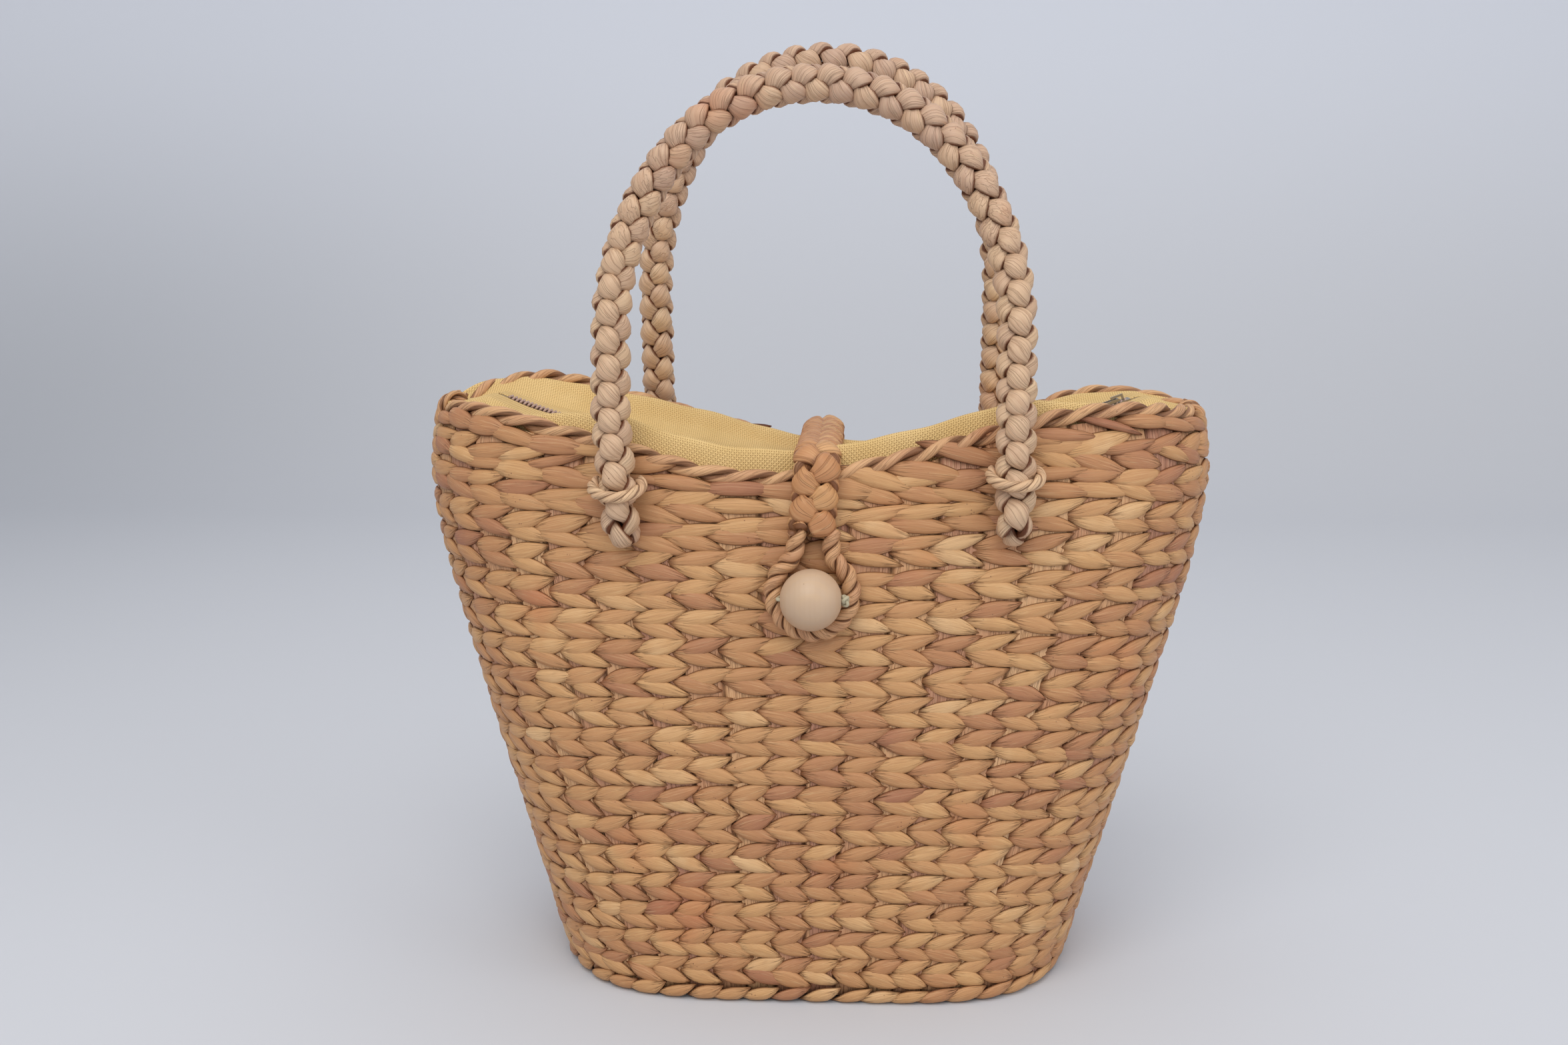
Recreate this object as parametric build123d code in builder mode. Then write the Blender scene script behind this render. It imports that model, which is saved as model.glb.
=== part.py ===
from build123d import *

import os
from math import acos, asin, atan2, cos, degrees, pi, radians, sin, sqrt

# Twined basket box bag with two plaited handles, a zipped lining and a loop-and-bead closure.
# Millimetres. Origin: centre of the base's underside. +X along the bag, -Y its front, +Z up.

# Basket: the plan outline is |x / half-length|^LENGTH_POWER + |y / half-depth|^DEPTH_POWER = 1
BASE_HALF_LENGTH = 112
BASE_HALF_DEPTH = 66
FLARE = 0.29
FLARE_CLOSING = 10.5
FLARE_HEIGHT = 230
BELLY_DEPTH = 1
MOUTH_HALF_DEPTH = 55
LENGTH_POWER = 4.5
DEPTH_POWER = 1.8
WALL = 6.5
BASE_EDGE_RADIUS = 7
SECTION_HEIGHTS = (0, 45, 90, 135, 180, 222, 264)
OUTLINE_POINTS = 28

# Rim: the saddle that the wall is finished to, and the cord along it
SADDLE_LOW = 216
SADDLE_RISE = 25
SADDLE_REACH = 145
RIM_TWIST = 5
TWIST_REACH = 150
RIM_CORD = 7
TWIST_PLANE = 80
SADDLE_STEP = 30
SADDLE_STEPS = 6
CUT_TOP = 320

# Lining and zip: the zip sags along an arc between the ends of the mouth
LINING_GAP = 0.8
CLOTH = 1
ZIP_LOW = 218
ZIP_END_RISE = 32
ZIP_END_REACH = 150
ZIP_HALF_LENGTH = 138
PANEL_EDGE = 9
PANEL_THICKNESS = 1.2
PANEL_REACH = 152
PANEL_ROOM_LOW = 195
TAPE_HALF_WIDTH = 14
TAPE_THICKNESS = 1
COIL_GAP = 0.8
COIL_HALF_WIDTH = 3.2
COIL_RISE = 0.7
STOP_LENGTH = 3
SLIDER_LENGTH = 9
SLIDER_HALF_WIDTH = 4.5
SLIDER_REST = 134.5
SLIDER_PLATE = 1
SLIDER_PLAY = 0.3
FLANGE = 0.8
BRIDGE_HALF_WIDTH = 0.5
BRIDGE_LENGTH = 2
BAIL_LENGTH = 5
BAIL_HEIGHT = 2.8
BAIL_HALF_WIDTH = 0.8
BAIL_BAR = 0.8
PULL_LENGTH = 22
PULL_HALF_WIDTH = 2.8
PULL_THICKNESS = 1.2
PULL_ARM = 1.2
PULL_WINDOW = 6

# Handles: a plait of round outline, straight legs and an arch of three tangent arcs
PLAIT_RADIUS = 8
LEG_SPREAD = 79.3
PIVOT_HEIGHT = 244
PIVOT_DEPTH = 63
HANDLE_LEAN = 8
CROWN_RADIUS = 70
HANDLES = {
    "front": {"side": -1, "leg": 33, "arch": 96, "shift": 0},
    "back": {"side": 1, "leg": 47, "arch": 102, "shift": 3},
}
END_LOW = 195
END_LOW_DEPTH = 68
END_LOW_SPREADS = {"left": 75, "right": 79.3}
END_PLAY = 0.3
TIE_HEIGHTS = {"left": 214, "right": 219}
TIE_RADIUS = 2.3

# Closure: a braided strap over the mouth, a rope loop and a bead on a cord
STRAP_HALF_WIDTH = 10
STRAP_THICKNESS = 8
STRAP_HEIGHT = 229
STRAP_CORNER = 6
STRAP_BACK_LOW = 203
STRAP_WALL_GAP = 0.5
STRAP_RIM_GAP = 1
FLAP_DEPTH = 61.4
FLAP_LENGTH = 26
WALL_TILT = 5
BEAD_RADIUS = 12.2
BEAD_HEIGHT = 173
BEAD_WALL_GAP = 1
CORD_RADIUS = 0.7
CORD_BEND = 1.2
CORD_SIDE = 13.45
CORD_SHOULDER = (11.3, 8.6)
CORD_TAIL_SPREAD = 7.4
CORD_TAIL_DEPTH = 1.5
BORE_RADIUS = 0.8
BORE_MOUTH_RADIUS = 2.6
BORE_MOUTH_DEPTH = 1.8
LOOP_RADIUS = 17.5
LOOP_ROPE_RADIUS = 3.2
LOOP_LEG_SPREAD = 5
LOOP_LEG_RISE = 29


def plan_half_length(height):
    """Half-length of the basket at a height: a straight flare that closes towards the rim."""
    return BASE_HALF_LENGTH + FLARE * height - FLARE_CLOSING * (height / FLARE_HEIGHT) ** 5


def plan_half_depth(height):
    """Half-depth at a height: a shallow belly, drawn in towards the mouth."""
    share = height / FLARE_HEIGHT
    drawn_in = (BASE_HALF_DEPTH - MOUTH_HALF_DEPTH) * share**3
    return BASE_HALF_DEPTH + BELLY_DEPTH * sin(pi * min(share, 1)) - drawn_in


def outline(height, inset):
    """Points of the rounded oval plan outline at a height, drawn in by inset."""
    length = plan_half_length(height) - inset
    depth = plan_half_depth(height) - inset
    points = []
    for i in range(OUTLINE_POINTS):
        turn = 2 * pi * i / OUTLINE_POINTS
        c = cos(turn)
        s = sin(turn)
        x = length * abs(c) ** (2 / LENGTH_POWER) * (1 if c >= 0 else -1)
        y = depth * abs(s) ** (2 / DEPTH_POWER) * (1 if s >= 0 else -1)
        points.append((x, y))
    return points


def saddle(x, side):
    """Height of the wall's top on the plane TWIST_PLANE from the middle, on one side."""
    rise = SADDLE_RISE * sin(pi / 2 * min(abs(x) / SADDLE_REACH, 1)) ** 2
    twist = RIM_TWIST * TWIST_PLANE / MOUTH_HALF_DEPTH * sin(pi * x / TWIST_REACH)
    return SADDLE_LOW + rise - side * twist


def basket_form(inset, bottom):
    """Solid of the basket's outer form, drawn in by inset and starting at a height."""
    heights = [bottom] + [h for h in SECTION_HEIGHTS if h > bottom + 5]
    with BuildPart() as form:
        for height in heights:
            with BuildSketch(Plane.XY.offset(height)):
                with BuildLine():
                    Spline(*outline(height, inset), periodic=True)
                make_face()
        loft()
    return form.part


def above_saddle(raised):
    """Solid of everything above the saddle, raised by a height."""
    steps = [SADDLE_STEP * i for i in range(-SADDLE_STEPS, SADDLE_STEPS + 1)]
    top = CUT_TOP + raised
    with BuildPart() as cutter:
        for side in (-1, 1):
            with BuildSketch(Plane.XZ.offset(-side * TWIST_PLANE)):
                with BuildLine():
                    edge = Spline(*[(x, saddle(x, side) + raised) for x in steps])
                    Polyline(edge @ 0, (steps[0], top), (steps[-1], top), edge @ 1)
                make_face()
        loft(ruled=True)
    return cutter.part


outer_form = basket_form(0, 0)
inner_form = basket_form(WALL, WALL)
above_wall = above_saddle(0)
above_rim = above_saddle(RIM_CORD)

with BuildPart() as basket_body:
    add(outer_form)
    fillet(basket_body.edges().group_by(Axis.Z)[0], BASE_EDGE_RADIUS)
    add(inner_form, mode=Mode.SUBTRACT)
    add(above_wall, mode=Mode.SUBTRACT)

with BuildPart() as rim_cord:
    add(outer_form)
    add(inner_form, mode=Mode.SUBTRACT)
    add(above_rim, mode=Mode.SUBTRACT)
    add(above_wall, mode=Mode.INTERSECT)

# Lining: a cloth bag inside the wall, open at the top
lining_outside = WALL + LINING_GAP
lining_inside = lining_outside + CLOTH
lining_room = basket_form(lining_inside, lining_inside)

with BuildPart() as lining:
    add(basket_form(lining_outside, lining_outside))
    add(lining_room, mode=Mode.SUBTRACT)
    add(above_wall, mode=Mode.SUBTRACT)

# Zip: everything on it lies between arcs about one centre high above the mouth
zip_radius = (ZIP_END_REACH**2 + ZIP_END_RISE**2) / (2 * ZIP_END_RISE)
zip_centre = ZIP_LOW + zip_radius
coil_top = zip_radius - TAPE_THICKNESS - COIL_RISE
coil_bottom = zip_radius + COIL_RISE
coil_reach = ZIP_HALF_LENGTH - STOP_LENGTH


def zip_angle(x):
    """Angle about the zip's centre, from straight down, of the point of the arc above x."""
    return degrees(asin(x / zip_radius))


def zip_strip(inner_radius, outer_radius, start_x, end_x):
    """Sketch face between two arcs about the zip's centre, from start_x to end_x."""
    start = zip_angle(start_x) - 90
    size = zip_angle(end_x) - zip_angle(start_x)
    with BuildSketch() as strip:
        with BuildLine():
            inner = CenterArc((0, zip_centre), inner_radius, start, size)
            outer = CenterArc((0, zip_centre), outer_radius, start, size)
            Line(inner @ 0, outer @ 0)
            Line(inner @ 1, outer @ 1)
        make_face()
    return strip.sketch


panel_room = basket_form(lining_inside + SLIDER_PLAY, PANEL_ROOM_LOW)
with BuildPart() as lining_panel_front:
    with BuildSketch(Plane.XZ.offset(PANEL_EDGE)):
        add(zip_strip(zip_radius, zip_radius + PANEL_THICKNESS, -PANEL_REACH, PANEL_REACH))
    extrude(amount=BASE_HALF_DEPTH - PANEL_EDGE)
    add(panel_room, mode=Mode.INTERSECT)

with BuildPart() as zip_tape_front:
    with BuildSketch(Plane.XZ.offset(COIL_HALF_WIDTH)):
        add(zip_strip(zip_radius - TAPE_THICKNESS, zip_radius, -ZIP_HALF_LENGTH, ZIP_HALF_LENGTH))
    extrude(amount=TAPE_HALF_WIDTH - COIL_HALF_WIDTH)

with BuildPart() as zip_coil_front:
    with BuildSketch(Plane.XZ.offset(COIL_GAP)):
        add(zip_strip(coil_top, coil_bottom, -coil_reach, coil_reach))
    extrude(amount=COIL_HALF_WIDTH - COIL_GAP)

with BuildPart() as zip_stop_right:
    with BuildSketch(Plane.XZ.offset(-COIL_HALF_WIDTH)):
        add(zip_strip(coil_top, coil_bottom, coil_reach, ZIP_HALF_LENGTH))
    extrude(amount=2 * COIL_HALF_WIDTH)

with BuildPart() as lining_panel_back:
    mirror(lining_panel_front.part, about=Plane.XZ)
with BuildPart() as zip_tape_back:
    mirror(zip_tape_front.part, about=Plane.XZ)
with BuildPart() as zip_coil_back:
    mirror(zip_coil_front.part, about=Plane.XZ)
with BuildPart() as zip_stop_left:
    mirror(zip_stop_right.part, about=Plane.YZ)

# Zip slider: two plates joined by a bridge that runs in the gap between the coils
slider_start = SLIDER_REST - SLIDER_LENGTH
slider_end = SLIDER_REST
top_low = coil_top - SLIDER_PLAY
top_high = top_low - SLIDER_PLATE
bottom_high = coil_bottom + SLIDER_PLAY
bottom_low = bottom_high + SLIDER_PLATE
tape_top = zip_radius - TAPE_THICKNESS - SLIDER_PLAY
tape_bottom = zip_radius + SLIDER_PLAY
bail_middle = (slider_start + slider_end) / 2
bail_start = bail_middle - BAIL_LENGTH / 2
bail_end = bail_middle + BAIL_LENGTH / 2
bail_high = top_high - BAIL_HEIGHT

with BuildPart() as zip_slider:
    with BuildSketch(Plane.XZ.offset(-SLIDER_HALF_WIDTH)):
        add(zip_strip(top_high, top_low, slider_start, slider_end))
        add(zip_strip(bottom_high, bottom_low, slider_start, slider_end))
    extrude(amount=2 * SLIDER_HALF_WIDTH)
    with BuildSketch(Plane.XZ.offset(-BRIDGE_HALF_WIDTH)):
        add(zip_strip(top_high, bottom_low, slider_end - BRIDGE_LENGTH, slider_end))
    extrude(amount=2 * BRIDGE_HALF_WIDTH)
    with BuildSketch(
        Plane.XZ.offset(-SLIDER_HALF_WIDTH), Plane.XZ.offset(SLIDER_HALF_WIDTH - FLANGE)
    ):
        add(zip_strip(top_high, tape_top, slider_start, slider_end))
        add(zip_strip(tape_bottom, bottom_low, slider_start, slider_end))
    extrude(amount=FLANGE)
    with BuildSketch(Plane.XZ.offset(-BAIL_HALF_WIDTH)):
        add(zip_strip(bail_high, top_high, bail_start, bail_end))
        add(
            zip_strip(bail_high + BAIL_BAR, top_high, bail_start + BAIL_BAR, bail_end - BAIL_BAR),
            mode=Mode.SUBTRACT,
        )
    extrude(amount=2 * BAIL_HALF_WIDTH)

# Zip pull: a bar under the slider's bail, two arms and a tab that lies along the zip
pull_radius = (bail_high + BAIL_BAR + top_high) / 2
pull_turn = radians(zip_angle(bail_middle))
pull_centre = (pull_radius * sin(pull_turn), 0, zip_centre - pull_radius * cos(pull_turn))
pull_plane = Plane(
    origin=pull_centre,
    x_dir=(-cos(pull_turn), 0, -sin(pull_turn)),
    z_dir=(-sin(pull_turn), 0, cos(pull_turn)),
)
pull_bar_axis = Plane(origin=pull_centre, z_dir=(0, 1, 0))
print("zip centre", zip_centre, "pull pivot", pull_centre)

with BuildPart() as zip_pull:
    with BuildSketch(pull_plane.offset(-PULL_THICKNESS / 2)):
        with Locations((PULL_LENGTH / 2, 0)):
            Rectangle(PULL_LENGTH, 2 * PULL_HALF_WIDTH)
        with Locations((PULL_WINDOW / 2, 0)):
            Rectangle(PULL_WINDOW, 2 * (PULL_HALF_WIDTH - PULL_ARM), mode=Mode.SUBTRACT)
    extrude(amount=PULL_THICKNESS)
    upright = Axis(pull_centre, pull_plane.z_dir)
    fillet(zip_pull.edges().filter_by(upright).group_by(Axis.X)[0], PULL_ARM)
    with BuildSketch(pull_bar_axis.offset(-PULL_HALF_WIDTH)):
        Circle(PULL_THICKNESS / 2)
    extrude(amount=2 * PULL_HALF_WIDTH)


def handle_bow(side, leg, arch, shift):
    """Moving part of a handle: straight legs from the pivots and an arch, leaning inwards."""
    lean = radians(HANDLE_LEAN)
    plane = Plane(
        origin=(shift, side * PIVOT_DEPTH, PIVOT_HEIGHT),
        x_dir=(1, 0, 0),
        z_dir=(0, -cos(lean), -side * sin(lean)),
    )
    spread = LEG_SPREAD
    shoulder = (spread**2 + arch**2 - 2 * arch * CROWN_RADIUS) / (2 * (spread - CROWN_RADIUS))
    crown_centre = leg + arch - CROWN_RADIUS
    turn = degrees(atan2(crown_centre - leg, shoulder - spread))
    with BuildPart() as bow:
        with BuildLine(plane) as path:
            Line((-spread, 0), (-spread, leg))
            CenterArc((shoulder - spread, leg), shoulder, 180, -turn)
            CenterArc((0, crown_centre), CROWN_RADIUS, 180 - turn, 2 * turn - 180)
            CenterArc((spread - shoulder, leg), shoulder, turn, -turn)
            Line((spread, leg), (spread, 0))
        with BuildSketch(Plane(origin=path.line @ 0, z_dir=path.line % 0)):
            Circle(PLAIT_RADIUS)
        sweep()
        for end, sign in ((0, 1), (1, -1)):
            outward = path.line % end * sign
            with Locations(Plane(origin=path.line @ end, z_dir=outward)):
                Sphere(PLAIT_RADIUS, arc_size1=-90, arc_size2=0)
    return bow


def handle_end(side, x_low, x_high):
    """Fixed part of a handle's leg: it lies on the wall from the tuck-in up to the pivot."""
    top_height = PIVOT_HEIGHT - PLAIT_RADIUS - END_PLAY
    low = Vector(x_low, side * END_LOW_DEPTH, END_LOW)
    high = Vector(x_high, side * PIVOT_DEPTH, top_height)
    with BuildPart() as stub:
        with BuildSketch(Plane(origin=low, z_dir=high - low)):
            Circle(PLAIT_RADIUS)
        extrude(amount=(high - low).length)
    return stub, low, high


def handle_tie(low, high, height):
    """Lashing round a leg, open towards the wall that its ends go into."""
    centre = low + (high - low) * ((height - low.Z) / (high.Z - low.Z))
    with BuildPart() as tie:
        with Locations(Plane(origin=centre, z_dir=high - low)):
            Torus(PLAIT_RADIUS + END_PLAY + TIE_RADIUS, TIE_RADIUS)
        add(outer_form, mode=Mode.SUBTRACT)
    return tie


# Closure strap: a braid fixed behind the back rim, laid over the mouth to the front rim
strap_back_low = plan_half_depth(STRAP_BACK_LOW) + STRAP_THICKNESS / 2 + STRAP_WALL_GAP
strap_back_high = plan_half_depth(STRAP_HEIGHT - STRAP_THICKNESS) + STRAP_THICKNESS / 2 + STRAP_RIM_GAP
hinge_radius = STRAP_THICKNESS / 2
strap_front = -FLAP_DEPTH + hinge_radius + END_PLAY
with BuildPart() as closure_strap:
    with BuildLine(Plane.YZ) as strap_path:
        FilletPolyline(
            (strap_back_low, STRAP_BACK_LOW),
            (strap_back_high, STRAP_HEIGHT),
            (strap_front, STRAP_HEIGHT),
            radius=STRAP_CORNER,
        )
    strap_start = Plane(origin=strap_path.line @ 0, x_dir=(1, 0, 0), z_dir=strap_path.line % 0)
    with BuildSketch(strap_start):
        Rectangle(2 * STRAP_HALF_WIDTH, STRAP_THICKNESS)
    sweep()

# Closure flap: the strap's free end, hinged where it bends over the front rim
wall_tilt = radians(WALL_TILT)
down_wall = Vector(0, -sin(wall_tilt), -cos(wall_tilt))
flap_top = Vector(-STRAP_HALF_WIDTH, -FLAP_DEPTH, STRAP_HEIGHT)
flap_plane = Plane(origin=flap_top, x_dir=down_wall, z_dir=(1, 0, 0))
with BuildPart() as closure_flap:
    with BuildSketch(flap_plane):
        with Locations((FLAP_LENGTH / 2, 0)):
            SlotCenterToCenter(FLAP_LENGTH, STRAP_THICKNESS)
    extrude(amount=2 * STRAP_HALF_WIDTH)

# Closure loop: a rope ring round the bead, its two legs joined to the flap
bead_wall = plan_half_depth(BEAD_HEIGHT)
loop_plane = Plane(
    origin=(0, -bead_wall - LOOP_ROPE_RADIUS - STRAP_WALL_GAP, BEAD_HEIGHT),
    x_dir=(1, 0, 0),
    z_dir=(0, -cos(wall_tilt), sin(wall_tilt)),
)
leg_distance = sqrt(LOOP_LEG_SPREAD**2 + LOOP_LEG_RISE**2)
leg_direction = degrees(atan2(LOOP_LEG_RISE, LOOP_LEG_SPREAD))
leg_tangent = leg_direction - degrees(acos(LOOP_RADIUS / leg_distance))
with BuildPart() as closure_loop:
    with BuildLine(loop_plane) as loop_path:
        ring = CenterArc((0, 0), LOOP_RADIUS, 180 - leg_tangent, 180 + 2 * leg_tangent)
        Line((-LOOP_LEG_SPREAD, LOOP_LEG_RISE), ring @ 0)
        Line(ring @ 1, (LOOP_LEG_SPREAD, LOOP_LEG_RISE))
    with BuildSketch(Plane(origin=loop_path.line @ 0, z_dir=loop_path.line % 0)):
        Circle(LOOP_ROPE_RADIUS)
    sweep()

# Bead: turned wood, bored along X with a countersunk mouth at each end
bead_depth = bead_wall + BEAD_WALL_GAP + BEAD_RADIUS
mouth_x = sqrt(BEAD_RADIUS**2 - BORE_MOUTH_RADIUS**2)
bead_centre = (0, -bead_depth, BEAD_HEIGHT)
print("bead centre", bead_centre)
with BuildPart() as bead:
    with BuildSketch(Plane(origin=bead_centre)):
        with BuildLine():
            ThreePointArc((-mouth_x, BORE_MOUTH_RADIUS), (0, BEAD_RADIUS), (mouth_x, BORE_MOUTH_RADIUS))
            Polyline(
                (mouth_x, BORE_MOUTH_RADIUS),
                (mouth_x - BORE_MOUTH_DEPTH, BORE_RADIUS),
                (-mouth_x + BORE_MOUTH_DEPTH, BORE_RADIUS),
                (-mouth_x, BORE_MOUTH_RADIUS),
            )
        make_face()
    revolve(axis=Axis(bead_centre, (1, 0, 0)))

# Bead cord: out of the wall, round the bead's side, through the bore and back
with BuildPart() as bead_cord:
    with BuildLine(Plane(origin=bead_centre)) as cord_path:
        FilletPolyline(
            (-CORD_TAIL_SPREAD, bead_depth - bead_wall + CORD_TAIL_DEPTH),
            (-CORD_SHOULDER[0], CORD_SHOULDER[1]),
            (-CORD_SIDE, 0),
            (CORD_SIDE, 0),
            CORD_SHOULDER,
            (CORD_TAIL_SPREAD, bead_depth - bead_wall + CORD_TAIL_DEPTH),
            radius=CORD_BEND,
        )
    with BuildSketch(Plane(origin=cord_path.line @ 0, z_dir=cord_path.line % 0)):
        Circle(CORD_RADIUS)
    sweep()

STRAW = (0.76, 0.58, 0.40)
PALE_STRAW = (0.80, 0.64, 0.46)
CANVAS = (0.88, 0.80, 0.56)
MAUVE = (0.50, 0.40, 0.38)
METAL = (0.62, 0.58, 0.52)
PALE_WOOD = (0.89, 0.77, 0.62)
CORD_GREY = (0.66, 0.66, 0.58)

pieces = {
    "basket_body": (basket_body, STRAW),
    "rim_cord": (rim_cord, PALE_STRAW),
    "lining": (lining, CANVAS),
    "lining_panel_front": (lining_panel_front, CANVAS),
    "lining_panel_back": (lining_panel_back, CANVAS),
    "zip_tape_front": (zip_tape_front, MAUVE),
    "zip_tape_back": (zip_tape_back, MAUVE),
    "zip_coil_front": (zip_coil_front, MAUVE),
    "zip_coil_back": (zip_coil_back, MAUVE),
    "zip_stop_left": (zip_stop_left, METAL),
    "zip_stop_right": (zip_stop_right, METAL),
    "zip_slider": (zip_slider, METAL),
    "zip_pull": (zip_pull, METAL),
    "closure_strap": (closure_strap, PALE_STRAW),
    "closure_flap": (closure_flap, PALE_STRAW),
    "closure_loop": (closure_loop, PALE_STRAW),
    "bead": (bead, PALE_WOOD),
    "bead_cord": (bead_cord, CORD_GREY),
}
for name, form in HANDLES.items():
    bow = handle_bow(form["side"], form["leg"], form["arch"], form["shift"])
    pieces[f"{name}_handle"] = (bow, PALE_STRAW)
    for hand, sign in (("left", -1), ("right", 1)):
        x_high = form["shift"] + sign * LEG_SPREAD
        x_low = form["shift"] + sign * END_LOW_SPREADS[hand]
        stub, low, high = handle_end(form["side"], x_low, x_high)
        pieces[f"{name}_handle_end_{hand}"] = (stub, PALE_STRAW)
        pieces[f"{name}_tie_{hand}"] = (handle_tie(low, high, TIE_HEIGHTS[hand]), PALE_STRAW)

os.makedirs("parts", exist_ok=True)
for name, (built, colour) in pieces.items():
    built.part.label = name
    built.part.color = Color(*colour)
    export_step(built.part, f"parts/{name}.step")
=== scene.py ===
from math import asin, atan2, cos, pi, radians, sin, sqrt

import bpy
import numpy as np
from bpy.props import FloatProperty, FloatVectorProperty, PointerProperty
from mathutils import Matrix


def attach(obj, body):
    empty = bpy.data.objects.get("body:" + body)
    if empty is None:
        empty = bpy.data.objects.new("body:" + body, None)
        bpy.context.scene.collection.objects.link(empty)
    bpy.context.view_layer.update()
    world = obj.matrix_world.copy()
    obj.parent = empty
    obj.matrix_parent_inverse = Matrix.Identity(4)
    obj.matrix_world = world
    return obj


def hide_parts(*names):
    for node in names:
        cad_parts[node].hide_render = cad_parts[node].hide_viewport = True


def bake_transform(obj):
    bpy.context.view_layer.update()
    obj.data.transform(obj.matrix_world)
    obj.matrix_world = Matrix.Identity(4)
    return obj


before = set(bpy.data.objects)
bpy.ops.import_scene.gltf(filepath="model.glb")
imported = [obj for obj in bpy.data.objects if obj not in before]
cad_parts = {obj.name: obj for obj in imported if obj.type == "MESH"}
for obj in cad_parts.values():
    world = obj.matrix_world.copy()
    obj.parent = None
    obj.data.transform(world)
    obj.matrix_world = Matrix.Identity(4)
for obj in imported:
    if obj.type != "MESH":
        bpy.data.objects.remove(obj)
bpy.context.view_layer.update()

bl_info = {
    "name": "Twined basket box bag",
    "version": (1, 0, 0),
    "blender": (4, 5, 0),
    "location": "View3D > Sidebar > Basket bag",
    "description": "Builds the woven skin, ropes, cloth and finishes of a twined basket bag",
    "category": "Object",
}

MM = 0.001

# Sizes below are in millimetres and angles in degrees. The basket's form:
BASE_HALF_LENGTH = 112
BASE_HALF_DEPTH = 66
FLARE = 0.29
FLARE_CLOSING = 11.6
FLARE_HEIGHT = 230
BELLY_DEPTH = 1
MOUTH_HALF_DEPTH = 55
LENGTH_POWER = 4.5
DEPTH_POWER = 1.8
BASE_EDGE_RADIUS = 3.5
SADDLE_LOW = 216
SADDLE_RISE = 25
SADDLE_REACH = 145
RIM_TWIST = 5
TWIST_REACH = 150
WALL_TILT = 5
RIM_LEVEL = 228.0
# Waves of the back rim, and the swell of the front one: middle, width and lift of each
BACK_WAVES = ((-140, 34, 8.5), (-40, 30, 1.8), (60, 20, -4.5), (125, 34, 5.0))
FRONT_SWELL = (-78, 26, 2.5)

# Weave
ROWS_TOP = 240
ROWS_SPLIT = 105
STAKES = 46
STAKE_COLUMNS = 24
STAKE_RIBS = 6
SHELL_INSIDE = 6.4
# Heights from the rim between which lobes roughen, and the room that a row needs below it
ROUGH_BAND = (-46, -14)
ROW_ROOM = 4.6
SMALL_ROOM = 7
BORDER_LOBES = 44
BORDER_DROP = 3.2
BORDER_REACH = 1.6
BASE_ROWS = 9
BASE_PITCH = 12.5
LOBE_RINGS = 9
LOBE_BACK = -0.7
LOBE_DEPTH = -1.95
LOBE_THICKNESS = 1.75
BASE_THICKNESS = 1.7
COLUMN_SHIFT = 0.3
# Angles round a lobe's section: seven in front and two behind
LOBE_RING = np.concatenate((np.linspace(0, pi, 7), (1.3 * pi, 1.7 * pi)))

# Ropes: rise and inset of the rim's, size of the ears', and a ply's half-sizes in rope radii
RIM_RISE = 2.5
RIM_INSET = 3.0
EAR_RADIUS = 2.1
EAR_TURN = 19.0
EAR_INSET = 5.6
PLY_WIDTH = 0.58
PLY_DEPTH = 0.5

# Plaits and handles
PLAIT_STRANDS = 4
PLAIT_SIDES = 14
PLAIT_DEPTH = 0.32
LEG_SPREAD = 79.3
PIVOT_HEIGHT = 244
PIVOT_DEPTH = 63
HANDLE_LEAN = 8
CROWN_RADIUS = 70
END_LOW = 195
END_LOW_DEPTH = 68
END_LOW_SPREADS = (75, 79.3)
END_RISES = (3.0, 5.5)
HANDLES = {
    "front": {"side": -1, "leg": 33, "arch": 96, "shift": 0, "turn": 0},
    "back": {"side": 1, "leg": 47, "arch": 102, "shift": 3, "turn": 0.25},
}
TIE_HEIGHTS = (214, 219)
TIE_REACH = 9.6

# Zip and the panels beside it
ZIP_LOW = 218
ZIP_END_RISE = 32
ZIP_END_REACH = 150
ZIP_RADIUS = (ZIP_END_REACH**2 + ZIP_END_RISE**2) / (2 * ZIP_END_RISE)
ZIP_HALF_LENGTH = 138.0
COIL_REACH = 134
COIL_TURNS = 150
PANEL_REACH = 160.4
PANEL_LEVEL = 235.0

# Strap, loop and bead
STRAP_HEIGHT = 229
FLAP_DEPTH = 61.4
BEAD_RADIUS = 12.2
BEAD_HEIGHT = 173
BEAD_DEPTH = 75.221


def rgb(*values):
    """Colour from display values of 0 to 255, made linear."""
    out = []
    for value in values:
        c = value / 255
        out.append(c / 12.92 if c <= 0.04045 else ((c + 0.055) / 1.055) ** 2.4)
    return (*out, 1.0)


def length(name, description, value):
    """A length setting, its default given in millimetres."""
    return FloatProperty(
        name=name, description=description, default=value * MM, min=0.0, precision=5,
        unit="LENGTH", subtype="DISTANCE",
    )


def colour(name, description, *values):
    """A colour setting, its default given as display values."""
    return FloatVectorProperty(
        name=name, description=description, default=rgb(*values), size=4, min=0.0, max=1.0, subtype="COLOR"
    )


class WeaveSizes(bpy.types.PropertyGroup):
    """Sizes of the twined wall"""

    first_row: length("First row", "Height of the lowest row's middle", 3.8)
    row_step: length("Row spacing", "Height from one row to the next", 6.2)
    lobe_width: length("Lobe half-width", "Half the width of a lobe at its middle", 3.35)
    lobe_swing: length("Lobe swing", "Half the fall of a lobe from one side of its row to the other", 2.6)
    lobe_reach: FloatProperty(
        name="Lobe length", description="Length of a lobe in stake spacings", default=1.48, min=1.0, max=2.5
    )
    stake_depth: length("Stake depth", "Depth of the stakes' faces under the lobes' tops", 2.3)


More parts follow.
